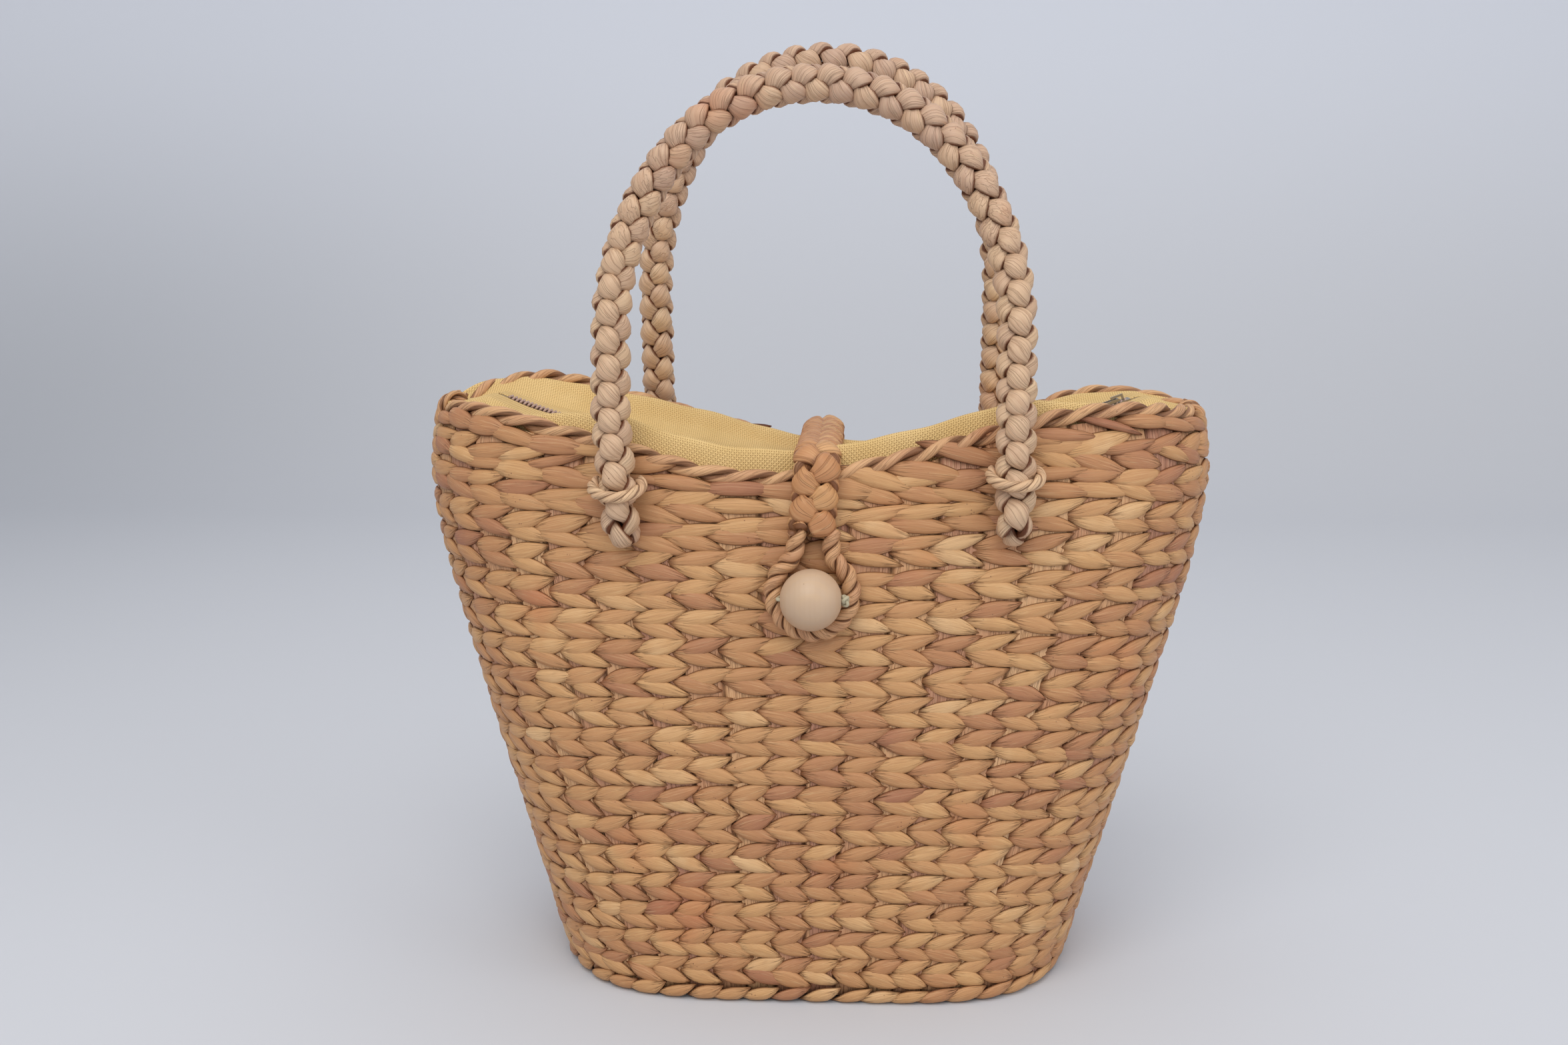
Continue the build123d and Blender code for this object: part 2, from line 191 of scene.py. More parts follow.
class RopeSizes(bpy.types.PropertyGroup):
    """Sizes of the twisted ropes"""

    rim_radius: length("Rim rope radius", "Radius of the rope along the rim", 3.7)
    rim_turn: length("Rim rope turn", "Length of one full turn of the rim's rope", 31.0)
    lashing_radius: length("Lashing radius", "Radius of the handles' lashings", 2.4)
    lashing_turn: length("Lashing turn", "Length of one full turn of a lashing", 17.0)
    loop_radius: length("Loop radius", "Radius of the closure's ring, to the middle of its rope", 15.7)
    loop_rope_radius: length("Loop rope radius", "Radius of the closure's rope", 3.9)
    loop_turn: length("Loop rope turn", "Length of one full turn of the closure's rope", 13.0)


class PlaitSizes(bpy.types.PropertyGroup):
    """Sizes of the plaits"""

    handle_radius: length("Handle radius", "Radius of the handles' plaits", 8.0)
    handle_turn: length("Handle turn", "Length in which a handle's strand goes once round", 21.3)
    strap_half_width: length("Strap half-width", "Half the width of the closure's braid", 10.5)
    strap_half_depth: length("Strap half-depth", "Half the thickness of the closure's braid", 5.6)
    strap_turn: length("Strap turn", "Length in which a strand of the braid goes once round", 21.0)


class ClothSizes(bpy.types.PropertyGroup):
    """Sizes of the cloth lining and its two panels"""

    thread: length("Thread spacing", "Distance from one thread of the canvas to the next", 0.95)
    panel_thickness: length("Panel thickness", "Thickness of the two panels beside the zip", 1.0)
    lining_thickness: length("Lining thickness", "Thickness of the lining bag", 0.9)
    front_crest: length("Front crest", "Rise of the front panel's fold over the rim", 11.5)
    back_crest: length("Back crest", "Rise of the back panel's fold over the rim", 6.0)


class StrawColours(bpy.types.PropertyGroup):
    """Colours of the dried water hyacinth, from its reddest strands to its palest, and of the painted shade in
    its grooves and creases
    """

    red: colour("Red strands", "Colour of the reddest strands", 163, 107, 80)
    tan: colour("Tan strands", "Colour of the middling strands", 188, 136, 92)
    gold: colour("Gold strands", "Colour of the golden strands", 205, 158, 107)
    pale: colour("Pale strands", "Colour of the palest strands", 218, 177, 129)
    # Painted shade where strands dip under each other.
    groove: colour("Grooves", "Colour where strands dip under each other", 100, 54, 27)
    # Painted shade in the creases of the pleats along a strand.
    crease: colour("Creases", "Colour of the pleats along a strand", 108, 62, 32)
    bleach: colour("Bleached straw", "Colour that the handles' straw fades towards", 236, 218, 196)


class TrimColours(bpy.types.PropertyGroup):
    """Colours of the cloth, the zip, the bead and its cord"""

    thread_low: colour("Thread, shaded", "Colour of the canvas's darker threads", 214, 180, 120)
    thread_high: colour("Thread, lit", "Colour of the canvas's lighter threads", 232, 202, 146)
    mesh_gap: colour("Mesh gaps", "Colour in the canvas's holes", 160, 114, 54)
    tape: colour("Zip tape", "Colour of the zip's tapes", 158, 132, 117)
    coil: colour("Zip coil", "Colour of the zip's coils", 174, 146, 135)
    metal: colour("Zip metal", "Colour of the slider, pull and stops", 162, 150, 132)
    wood_low: colour("Wood, darker", "Colour of the bead's darker wood", 190, 160, 133)
    wood_high: colour("Wood, lighter", "Colour of the bead's lighter wood", 201, 175, 148)
    cord: colour("Bead cord", "Colour of the bead's cord", 184, 176, 150)


class StageSettings(bpy.types.PropertyGroup):
    """The camera, the lights and the floor"""

    camera_place: FloatVectorProperty(
        name="Camera place", description="Place of the camera",
        default=(0.0172, -0.6568, 0.3), subtype="TRANSLATION", unit="LENGTH",
    )
    pitch: FloatProperty(
        name="Pitch", description="Angle that the camera looks down by",
        default=radians(9.4), subtype="ANGLE", unit="ROTATION",
    )
    yaw: FloatProperty(
        name="Yaw", description="Angle that the camera is turned left by",
        default=radians(2.72), subtype="ANGLE", unit="ROTATION",
    )
    lens: FloatProperty(
        name="Lens", description="Focal length of the camera", default=35.0, min=1.0, unit="CAMERA"
    )
    key: FloatProperty(
        name="Key light", description="Power of the light over the camera", default=20.0, min=0.0, unit="POWER"
    )
    fill: FloatProperty(
        name="Fill light", description="Power of the light from the right", default=6.5, min=0.0, unit="POWER"
    )
    top: FloatProperty(
        name="Top light", description="Power of the light from above", default=5.0, min=0.0, unit="POWER"
    )
    world: FloatProperty(
        name="World light", description="Strength of the light from all round", default=0.72, min=0.0
    )
    # Painted light across the floor: darker on the left, lighter on the right.
    floor_left_shaded: colour("Floor, left", "Colour of the floor's left side", 184, 188, 196)
    floor_right_lit: colour("Floor, right", "Colour of the floor's right side", 204, 207, 214)
    backdrop: colour("Backdrop", "Colour of the sweep behind the floor", 226, 231, 242)


class BasketBag(bpy.types.PropertyGroup):
    """All settings of the bag"""

    weave: PointerProperty(type=WeaveSizes, name="Weave")
    ropes: PointerProperty(type=RopeSizes, name="Ropes")
    plaits: PointerProperty(type=PlaitSizes, name="Plaits")
    cloth: PointerProperty(type=ClothSizes, name="Cloth")
    straw: PointerProperty(type=StrawColours, name="Straw colours")
    trim: PointerProperty(type=TrimColours, name="Trim colours")
    stage: PointerProperty(type=StageSettings, name="Stage")


def bag():
    """The bag's settings in this scene."""
    return bpy.context.scene.basket_bag


def smooth(value, low, high):
    """Smoothstep: 0 below low, 1 above high, with level ends."""
    share = np.clip((np.asarray(value, dtype=float) - low) / (high - low), 0, 1)
    return share * share * (3 - 2 * share)


def half_length(height):
    """Half-length of the plan at a height: a flare less a ninth-power closing."""
    return BASE_HALF_LENGTH + FLARE * height - FLARE_CLOSING * (height / FLARE_HEIGHT) ** 9


def half_depth(height):
    """Half-depth of the plan at a height: half a sine of belly less a cubic drawing in."""
    share = np.clip(height / FLARE_HEIGHT, 0, 1.1)
    drawn_in = (BASE_HALF_DEPTH - MOUTH_HALF_DEPTH) * share**3
    return BASE_HALF_DEPTH + BELLY_DEPTH * np.sin(pi * np.minimum(share, 1)) - drawn_in


def oval(turn):
    """The plan's oval at unit size: signed powers of cosine and sine, a superellipse."""
    c = np.cos(turn)
    s = np.sin(turn)
    return np.sign(c) * np.abs(c) ** (2 / LENGTH_POWER), np.sign(s) * np.abs(s) ** (2 / DEPTH_POWER)


def turn_table(height=120.0, count=4001):
    """Shares of the oval's length at a height, against the oval's own parameter.

    The parameter is spaced by a power of an even step, so that x is even near x = 0.
    """
    quarter = 0.5 * pi * np.linspace(0, 1, count // 4) ** (LENGTH_POWER / 2)
    half = np.concatenate((quarter, pi - quarter[-2::-1]))
    turn = np.concatenate((half, pi + half[1:])) - 0.5 * pi
    x, y = oval(turn)
    steps = np.hypot(np.diff(x * half_length(height)), np.diff(y * half_depth(height)))
    length = np.concatenate(([0], np.cumsum(steps)))
    return turn, length / length[-1]


TURNS, SHARES = turn_table()


def oval_at(share):
    """The unit oval's point at a share of the way round from the middle of the front."""
    return oval(np.interp(np.mod(share, 1), SHARES, TURNS))


def rim_height(x, y):
    """Top of the wall: a squared-sine saddle, tilted one way in front and the other behind.

    Bell curves of x lift the back rim in waves, and one lifts the front rim.
    """
    rise = SADDLE_RISE * np.sin(pi / 2 * np.minimum(np.abs(x) / SADDLE_REACH, 1)) ** 2
    level = SADDLE_LOW + rise - y / MOUTH_HALF_DEPTH * RIM_TWIST * np.sin(pi * x / TWIST_REACH)
    back = smooth(y, 0, 26)
    for middle, width, lift in BACK_WAVES:
        level = level + back * lift * np.exp(-(((x - middle) / width) ** 2))
    middle, width, lift = FRONT_SWELL
    return level + lift * (1 - smooth(y, -40, -8)) * np.exp(-(((x - middle) / width) ** 2))


def rim_top(share):
    """Rim height over the oval's point at a share of the way round, taken near the rim."""
    px, py = oval_at(share)
    return rim_height(px * half_length(RIM_LEVEL), py * half_depth(RIM_LEVEL))


def wall_point(share, height, depth):
    """Point of the wall: the oval at that height, pushed along its normal by depth.

    Below the base edge's radius the oval is drawn in along a quarter circle.
    """
    share, height, depth = np.broadcast_arrays(share, height, depth)
    px, py = oval_at(share)
    low = np.clip(BASE_EDGE_RADIUS - height, 0, BASE_EDGE_RADIUS)
    tuck = BASE_EDGE_RADIUS - np.sqrt(BASE_EDGE_RADIUS**2 - low**2)
    a = half_length(height) - tuck
    b = half_depth(height) - tuck
    nx = LENGTH_POWER * np.sign(px) * np.abs(px) ** (LENGTH_POWER - 1) / a
    ny = DEPTH_POWER * np.sign(py) * np.abs(py) ** (DEPTH_POWER - 1) / b
    size = np.hypot(nx, ny)
    nx = nx / size
    ny = ny / size
    lean = (half_length(height + 1.0) - half_length(height)) * nx * px
    z = height - depth * lean
    return np.stack((px * a + nx * depth, py * b + ny * depth, np.maximum(z, 0.05)), axis=-1)


def stake_pitch(share, height):
    """Distance from one stake to the next along the wall, near a point of it."""
    step = 0.25 / STAKES
    a = wall_point(share - step, height, 0.0)
    b = wall_point(share + step, height, 0.0)
    return 2 * np.linalg.norm(b - a, axis=-1)


def grid_faces(rows, columns):
    """Corner indices of the quads of one open grid of rows by columns."""
    index = np.arange(rows * columns).reshape(rows, columns)
    return np.stack((index[:-1, :-1], index[:-1, 1:], index[1:, 1:], index[1:, :-1]), -1).reshape(-1, 4)


def tube_faces(tubes, rings, sides, closed=False):
    """Corner indices of the quads of many tubes, each a grid of rings by sides."""
    spans = rings if closed else rings - 1
    t, r, s = np.meshgrid(np.arange(tubes), np.arange(spans), np.arange(sides), indexing="ij")
    base = t * rings * sides
    here = base + r * sides
    there = base + ((r + 1) % rings) * sides
    right = (s + 1) % sides
    return np.stack((here + s, here + right, there + right, there + s), axis=-1).reshape(-1, 4)


def build_mesh(name, points, quads, caps=(), uv=None, values=None):
    """Mesh object in metres from points in millimetres, quads and end caps.

    Faces are turned to point outwards by the sign of the volume they close.
    """
    points = np.asarray(points, dtype=float).reshape(-1, 3) * MM
    if not np.isfinite(points).all():
        raise ValueError(f"{name} has points that are not numbers")
    p = points[quads]
    volume = np.einsum("ij,ij->i", p[:, 0], np.cross(p[:, 1], p[:, 2])).sum()
    volume += np.einsum("ij,ij->i", p[:, 0], np.cross(p[:, 2], p[:, 3])).sum()
    flip = volume < 0
    if flip:
        quads = quads[:, ::-1]
    caps = np.asarray(caps)
    loops = quads.reshape(-1)
    starts = np.arange(len(quads)) * 4
    if len(caps):
        if flip:
            caps = caps[:, ::-1]
        cap_starts = len(loops) + np.arange(len(caps)) * caps.shape[1]
        loops = np.concatenate((loops, caps.reshape(-1)))
        starts = np.concatenate((starts, cap_starts))
    mesh = bpy.data.meshes.new(name)
    mesh.vertices.add(len(points))
    mesh.vertices.foreach_set("co", points.reshape(-1))
    mesh.loops.add(len(loops))
    mesh.loops.foreach_set("vertex_index", loops.astype(np.int32))
    mesh.polygons.add(len(starts))
    mesh.polygons.foreach_set("loop_start", starts.astype(np.int32))
    if uv is not None:
        corner_uv = uv[:, ::-1] if flip else uv
        flat = np.zeros((len(loops), 2))
        flat[: len(quads) * 4] = corner_uv.reshape(-1, 2)
        mesh.uv_layers.new(name="UVMap").data.foreach_set("uv", flat.reshape(-1))
    for key, data in (values or {}).items():
        mesh.attributes.new(key, "FLOAT", "POINT").data.foreach_set("value", data.reshape(-1))
    mesh.update(calc_edges=True)
    mesh.polygons.foreach_set("use_smooth", np.ones(len(starts), dtype=bool))
    mesh.validate()
    piece = bpy.data.objects.new(name, mesh)
    bpy.context.scene.collection.objects.link(piece)
    return piece


def tubes_mesh(name, points, tones, along=None, closed=False, reach=None):
    """Mesh of many tubes, given as an array of tubes by rings by sides by 3.

    UV runs across from 0 to 1 round each ring and along from 0 to 1, or by the given
    along values. Each tube carries its tone, and each point its reach: from 0 to 1
    along the tube, or as given.
    """
    tubes, rings, sides, _ = points.shape
    quads = tube_faces(tubes, rings, sides, closed)
    spans = rings if closed else rings - 1
    if along is None:
        along = np.broadcast_to(np.linspace(0, 1, rings), (tubes, rings))
    ends = np.concatenate((along, 2 * along[:, -1:] - along[:, -2:-1]), 1)
    low = np.broadcast_to(ends[:, :spans, None], (tubes, spans, sides))
    high = np.broadcast_to(ends[:, 1 : spans + 1, None], (tubes, spans, sides))
    left = np.broadcast_to(np.arange(sides) / sides, (tubes, spans, sides))
    right = left + 1 / sides
    corners = ((left, low), (right, low), (right, high), (left, high))
    uv = np.stack([np.stack(corner, -1) for corner in corners], axis=-2).reshape(-1, 4, 2)
    caps = ()
    if not closed:
        start = (np.arange(tubes) * rings * sides)[:, None] + np.arange(sides)[None, ::-1]
        end = (np.arange(tubes) * rings * sides + (rings - 1) * sides)[:, None] + np.arange(sides)
        caps = np.concatenate((start, end))
    tones = np.asarray(tones, dtype=float).reshape(tubes, -1)
    tone = np.broadcast_to(tones[:, :, None], (tubes, rings, sides))
    reach = np.atleast_2d(np.linspace(0, 1, rings) if reach is None else reach)
    reach = np.broadcast_to(reach[:, :, None], (tubes, rings, sides))
    values = {"tone": np.ascontiguousarray(tone), "reach": np.ascontiguousarray(reach)}
    return build_mesh(name, points, quads, caps, uv, values)


def lobe_section(power):
    """Height of a lobe's section round its ring: a powered sine in front, flat behind."""
    return np.where(LOBE_RING <= pi, np.abs(np.sin(LOBE_RING)) ** power, LOBE_BACK)


def lobe_grid(share, height, lean, rng, size, reach=None, lift=0.0, rings=LOBE_RINGS):
    """Leaf-shaped lobes of the twining, one for each share and height given.

    Along t from 0 to 1 a lobe runs from under the lobe before it, over its stake, to a
    blunt tip on top of the lobe after it. Its middle line falls from one side of the row
    to the other by a sine, its half-width is a powered sine, its depth two smoothsteps,
    and its section a superellipse flattened behind, with shallow pleats in front.
    """
    count = len(share)
    weave = bag().weave
    t = np.linspace(0, 1, rings)[None, :]
    jitter = rng.normal(0, 1, (7, count, 1))
    pitch = stake_pitch(share, height)[:, None]
    rough = smooth(height - rim_top(share), *ROUGH_BAND)[:, None]
    reach = (reach or weave.lobe_reach) * (1 + 0.2 * rough + (0.05 + 0.1 * rough) * jitter[0])
    s = (t - 0.5) * reach + (0.03 + 0.05 * rough) * jitter[1]
    swing = weave.lobe_swing / MM * (1 + 0.14 * jitter[2]) * (1 - rough * (0.15 + 0.5 * jitter[6]))
    w = lean[:, None] * (0.7 * np.sin(pi * t) - swing * (2 * t - 1))
    w = w + (0.25 + 0.4 * rough) * jitter[3]
    width = weave.lobe_width / MM * size[:, None] * (1 + (0.08 + 0.1 * rough) * jitter[4])
    width = 0.25 + width * np.maximum(np.sin(pi * t**0.97), 0) ** (0.95 - 0.2 * rough)
    taper = 0.42 + 0.58 * np.maximum(np.sin(pi * t), 0) ** 0.7
    thick = (LOBE_THICKNESS + 0.2 * rough + 0.15 * jitter[5]) * taper
    px, _ = oval_at(share)
    lift = lift + (1.8 * (1 - smooth(height, 2, 14)) * (1 - smooth(np.abs(px), 0.6, 0.95)))[:, None]
    depth = LOBE_DEPTH + lift - 1.5 * (1 - smooth(t, 0, 0.3)) - 0.9 * smooth(t, 0.85, 1.02)
    angle = np.arctan(np.gradient(w, axis=1) / np.gradient(s * pitch, axis=1))
    pleat = rng.uniform(0, 2 * pi, (count, 1, 1))
    fold = 0.1 * np.cos(5 * LOBE_RING + pleat) * (LOBE_RING <= pi)
    fold = fold * np.sin(LOBE_RING) * np.sin(pi * t)[:, :, None]
    off = np.cos(LOBE_RING) * width[:, :, None]
    along_row = s[:, :, None] * pitch[:, :, None] - np.sin(angle)[:, :, None] * off
    up = w[:, :, None] + np.cos(angle)[:, :, None] * off
    out = depth[:, :, None] + lobe_section(0.85) * thick[:, :, None] + fold
    where = share[:, None, None] + along_row / pitch[:, :, None] / STAKES
    return wall_point(where, height[:, None, None] + up, out)


def row_height(level, share):
    """Height of a row: it dips at the basket's ends below, and climbs with the rim above."""
    px, py = oval_at(share)
    end = np.abs(px) ** 3
    dip = -11 * smooth(level, 6, 32) * (1 - smooth(level, 130, 200)) + 6 * smooth(level, 180, 235)
    x = px * half_length(level)
    tilt = -py * RIM_TWIST * np.sin(pi * x / TWIST_REACH) * smooth(level, 120, 212)
    return level + dip * end + tilt


def wander(share, seed, size):
    """A slow handmade drift round the basket: three sines of whole turns, in millimetres."""
    phase = np.random.default_rng(seed).uniform(0, 2 * pi, 3)
    turns = np.array((2, 5, 9))
    return size * np.sin(2 * pi * turns * share[..., None] + phase).sum(-1) / 3


def weave_rows():
    """Share, height, lean and size of every lobe of the wall's rows, bottom row first."""
    rng = np.random.default_rng(11)
    stakes = np.arange(STAKES)
    shares, heights, leans, sizes = [], [], [], []
    weave = bag().weave
    for row in range(int(ROWS_TOP * MM / weave.row_step) + 1):
        level = (weave.first_row + weave.row_step * row) / MM
        share = (stakes + COLUMN_SHIFT) / STAKES + 0.0012 * rng.normal(0, 1, STAKES)
        height = row_height(level, share) + wander(share, 100 + row, 0.5)
        room = rim_top(share) - height
        keep = room > ROW_ROOM
        size = np.where(room < SMALL_ROOM, 0.8, 1.0)
        lean = np.full(STAKES, 1.0 if row % 2 else -1.0)
        if row == 0:
            size = size * 0.95
        shares.append(share[keep])
        heights.append(height[keep])
        leans.append(lean[keep])
        sizes.append(size[keep])
    return [np.concatenate(x) for x in (shares, heights, leans, sizes)]


def tone_draws(rng, count):
    """Random tones, mostly middling, a few far out for the pink and the orange strands."""
    return np.clip(rng.beta(3.0, 2.2, count), 0, 1)


def unit(vectors):
    """Vectors of any grid made unit length."""
    return vectors / np.linalg.norm(vectors, axis=-1)[..., None]


def square_to(direction, tangent):
    """Directions with their part along the tangents taken off, made unit length."""
    return unit(direction - (direction * tangent).sum(1)[:, None] * tangent)


def length_along(path):
    """Length from a path's start to each of its points: the running sum of its steps."""
    return np.concatenate(([0], np.cumsum(np.linalg.norm(np.diff(path, axis=0), axis=1))))


def smooth_route(points, step, times):
    """A polyline read again at even steps of its length, then eased.

    Easing moves each point but the ends to the mean of itself and its neighbours, itself
    counted twice, a number of times.
    """
    length = length_along(points)
    count = max(int(round(length[-1] / step)), 8)
    even = np.linspace(0, length[-1], count + 1)
    out = np.stack([np.interp(even, length, points[:, i]) for i in range(3)], axis=1)
    for _ in range(times):
        out[1:-1] = (out[:-2] + 2 * out[1:-1] + out[2:]) / 4
    return out


def strand_rings(centres, outward, half_width, half_thick, sides):
    """Rings of one strand: near ellipses across its own direction, wide along the binormal.

    centres and outward, the direction away from the rope's core, are rings by 3.
    """
    tangent = unit(np.gradient(centres, axis=0))
    out = square_to(outward, tangent)
    side = np.cross(tangent, out)
    ring = np.linspace(0, 2 * pi, sides, endpoint=False)
    a = (np.sign(np.cos(ring)) * np.abs(np.cos(ring)) ** 0.9)[None, :, None]
    b = np.sin(ring)[None, :, None]
    wide, deep = (np.broadcast_to(half, len(centres))[:, None, None] for half in (half_width, half_thick))
    return centres[:, None, :] + side[:, None, :] * a * wide + out[:, None, :] * b * deep


def path_frame(path, normal, closed=False):
    """Length along a path and two unit directions across it: the one nearest normal first."""
    tangent = unit(np.roll(path, -1, 0) - np.roll(path, 1, 0) if closed else np.gradient(path, axis=0))
    up = square_to(normal, tangent)
    return length_along(path), up, np.cross(tangent, up)


def plait(path, normal, half_x, half_y, turn_length, twist, rng, broad=0.5, dwell=0.32):
    """Four strands plaited round along a path: their rings, along values and overs.

    Two strands wind one way and two the other, round an oval of half_x by half_y. Each
    strand's radius swells and shrinks with the cosine of twice its angle, so it passes
    over one strand and under the next, and it turns more slowly where it is on top.
    twist turns the whole pattern along the path. A strand's over is 1 on top, 0 beneath.
    """
    length, up, right = path_frame(path, normal)
    drift = 0.05 * np.sin(length / 23.0 + rng.uniform(0, 6)) + 0.03 * np.sin(length / 9.0)
    beat = 2 * pi * (length / turn_length + drift)
    tubes = []
    overs = []
    for strand in range(PLAIT_STRANDS):
        way = 1 if strand % 2 else -1
        angle = way * (beat - way * dwell * np.sin(2 * beat)) + pi * (strand // 2)
        over = np.cos(2 * beat) * way
        turn = angle + twist
        reach = 0.47 + 0.17 * over
        cx = half_x * reach * np.cos(turn)
        cy = half_y * reach * np.sin(turn)
        centre = path + right * cx[:, None] + up * cy[:, None]
        ox = np.cos(turn) / half_x
        oy = np.sin(turn) / half_y
        outward = right * ox[:, None] + up * oy[:, None]
        swell = 0.66 + 0.66 * (0.5 + 0.5 * over) ** 1.4 + 0.05 * np.sin(length / 7 + strand)
        wide = broad * (half_x + half_y) / 2 * swell
        deep = PLAIT_DEPTH * np.sqrt(half_x * half_y) * (1 + 0.18 * over)
        tubes.append(strand_rings(centre, outward, wide, deep, PLAIT_SIDES))
        overs.append(0.5 + 0.5 * over)
    along = np.stack([length / turn_length * 2 + 0.3 * strand for strand in range(PLAIT_STRANDS)])
    return np.stack(tubes), along, np.stack(overs)


def twist_rope(path, normal, radius, turn_length, plies=2, sides=10, closed=False, loose=0.0, apart=0.5):
    """Plies twisted into a rope along a path: each centre circles the path, evenly.

    A closed rope has whole turns. loose lets its plies wander by slow sines. The along
    values of one ply and the next differ by apart.
    """
    length, up, right = path_frame(path, normal, closed)
    beat = 2 * pi * length / turn_length
    if closed:
        whole = length[-1] + np.linalg.norm(path[0] - path[-1])
        beat = 2 * pi * max(round(whole / turn_length), 1) * length / whole
    tubes = []
    for ply in range(plies):
        turn = beat + 2 * pi * ply / plies + loose * np.sin(beat * 0.37 + ply)
        reach = radius * (0.5 + 0.06 * loose * np.sin(beat * 0.61 + 2 * ply))
        outward = right * np.cos(turn)[:, None] + up * np.sin(turn)[:, None]
        centre = path + outward * reach[:, None]
        tubes.append(strand_rings(centre, outward, radius * PLY_WIDTH, radius * PLY_DEPTH, sides))
    return np.stack(tubes), np.stack([length / turn_length * 2 + apart * ply for ply in range(plies)])


def handle_path(side, leg, arch, shift):
    """Middle line of a handle, from its left tuck-in to its right one.

    The ends lie on the wall. The bow is straight legs and an arch of three tangent arcs
    in a plane that leans inwards.
    """
    spread = LEG_SPREAD
    shoulder = (spread**2 + arch**2 - 2 * arch * CROWN_RADIUS) / (2 * (spread - CROWN_RADIUS))
    crown = leg + arch - CROWN_RADIUS
    turn = atan2(crown - leg, shoulder - spread)
    side_turns = np.linspace(0, turn, 24)
    crown_turns = np.linspace(pi - turn, pi / 2, 24)
    legs = np.full(2, -spread), np.array((0, leg))
    sides = shoulder - spread - shoulder * np.cos(side_turns), leg + shoulder * np.sin(side_turns)
    top = CROWN_RADIUS * np.cos(crown_turns), crown + CROWN_RADIUS * np.sin(crown_turns)
    u, v = (np.concatenate(parts) for parts in zip(legs, sides, top))
    u, v = np.concatenate((u, -u[-2::-1])), np.concatenate((v, v[-2::-1]))
    lean = radians(HANDLE_LEAN)
    bow = np.stack((shift + u, side * (PIVOT_DEPTH - v * sin(lean)), PIVOT_HEIGHT + v * cos(lean)), axis=1)
    ends = []
    for hand, low_spread, rise in zip((-1, 1), END_LOW_SPREADS, END_RISES):
        low = np.array((shift + hand * low_spread, side * END_LOW_DEPTH, END_LOW + rise))
        ends.append(low + np.array(((0, -side * 12.0, -2.0), (0, -side * 4.0, -1.5), (0, 0, 0))))
    path = np.concatenate((ends[0], bow, ends[1][::-1]))
    return smooth_route(path, 0.9, 30)


# Materials


class Tree:
    """Shorthand for a material's nodes: each method makes one node and gives its output."""

    def __init__(self, name, roughness, specular=0.5, metallic=0.0):
        self.material = bpy.data.materials.new(name)
        self.material.use_nodes = True
        self.tree = self.material.node_tree
        self.shader = self.tree.nodes["Principled BSDF"]
        self.shader.inputs["Roughness"].default_value = roughness
        self.shader.inputs["Specular IOR Level"].default_value = specular
        self.shader.inputs["Metallic"].default_value = metallic

    def add(self, kind, inputs, **settings):
        """New node with settings, and values or links for its sockets by name or number."""
        node = self.tree.nodes.new(kind)
        for key, value in settings.items():
            setattr(node, key, value)
        for key, value in inputs.items():
            self.put(node.inputs[key], value)
        return node

    def put(self, socket, value):
        """Links an output or sets a value."""
        if isinstance(value, bpy.types.NodeSocket):
            self.tree.links.new(value, socket)
        else:
            socket.default_value = value

    def math(self, operation, a, b=0.0, clamp=False):
        """Math node of one or two values."""
        return self.add("ShaderNodeMath", {0: a, 1: b}, operation=operation, use_clamp=clamp).outputs[0]

    def times(self, a, b):
        """Product of two values."""
        return self.math("MULTIPLY", a, b)

    def plus(self, a, b):
        """Sum of two values."""
        return self.math("ADD", a, b)

    def less(self, a, b):
        """First value less the second."""
        return self.math("SUBTRACT", a, b)

    def most(self, a, b):
        """Greater of two values."""
        return self.math("MAXIMUM", a, b)

    def wave(self, value, rate):
        """Sine of a value times a rate."""
        return self.math("SINE", self.times(value, rate))

    def ramp(self, factor, stops):
        """Colour ramp through (place, colour) stops."""
        node = self.add("ShaderNodeValToRGB", {0: factor})
        marks = node.color_ramp.elements
        marks[0].position, marks[0].color = stops[0]
        marks[1].position, marks[1].color = stops[-1]
        for place, colour in stops[1:-1]:
            marks.new(place).color = colour
        return node.outputs[0]

    def band(self, value, low, high):
        """Value mapped from low..high to 0..1, smoothly."""
        inputs = {"Value": value, "From Min": low, "From Max": high}
        return self.add("ShaderNodeMapRange", inputs, interpolation_type="SMOOTHSTEP").outputs[0]

    def mix(self, factor, a, b):
        """Mixes two colours."""
        return self.add("ShaderNodeMix", {0: factor, 6: a, 7: b}, data_type="RGBA").outputs[2]

    def tint(self, colour, mask, share, other):
        """Mixes a colour towards another by a share of a mask."""
        return self.mix(self.times(mask, share), colour, other)

    def vector(self, x, y, z):
        """Vector from three values."""
        return self.add("ShaderNodeCombineXYZ", {0: x, 1: y, 2: z}).outputs[0]

    def parts(self, vector):
        """The three values of a vector."""
        return self.add("ShaderNodeSeparateXYZ", {0: vector}).outputs

    def noise(self, vector, scale, detail=3.0, rough=0.55):
        """Noise value at a vector."""
        inputs = {"Vector": vector, "Scale": scale, "Detail": detail, "Roughness": rough}
        return self.add("ShaderNodeTexNoise", inputs).outputs[0]

    def dots(self, vector, scale, low, high):
        """Scattered dots: the distance to Voronoi cells' points, mapped from low..high."""
        cells = self.add("ShaderNodeTexVoronoi", {"Vector": vector, "Scale": scale})
        return self.band(cells.outputs["Distance"], low, high)

    def attribute(self, name):
        """Value of a point attribute."""
        return self.add("ShaderNodeAttribute", {}, attribute_name=name).outputs["Fac"]

    def place(self, kind):
        """Coordinates of a kind: Object, or the piece's own UV map."""
        return self.add("ShaderNodeTexCoord", {}).outputs[kind]

    def bump(self, height, distance, strength=1.0):
        """Bump of a height."""
        inputs = {"Height": height, "Distance": distance, "Strength": strength}
        return self.add("ShaderNodeBump", inputs).outputs[0]

    def finish(self, colour, normal=None):
        """Links colour and normal to the shader."""
        self.put(self.shader.inputs["Base Color"], colour)
        if normal is not None:
            self.put(self.shader.inputs["Normal"], normal)
        return self.material


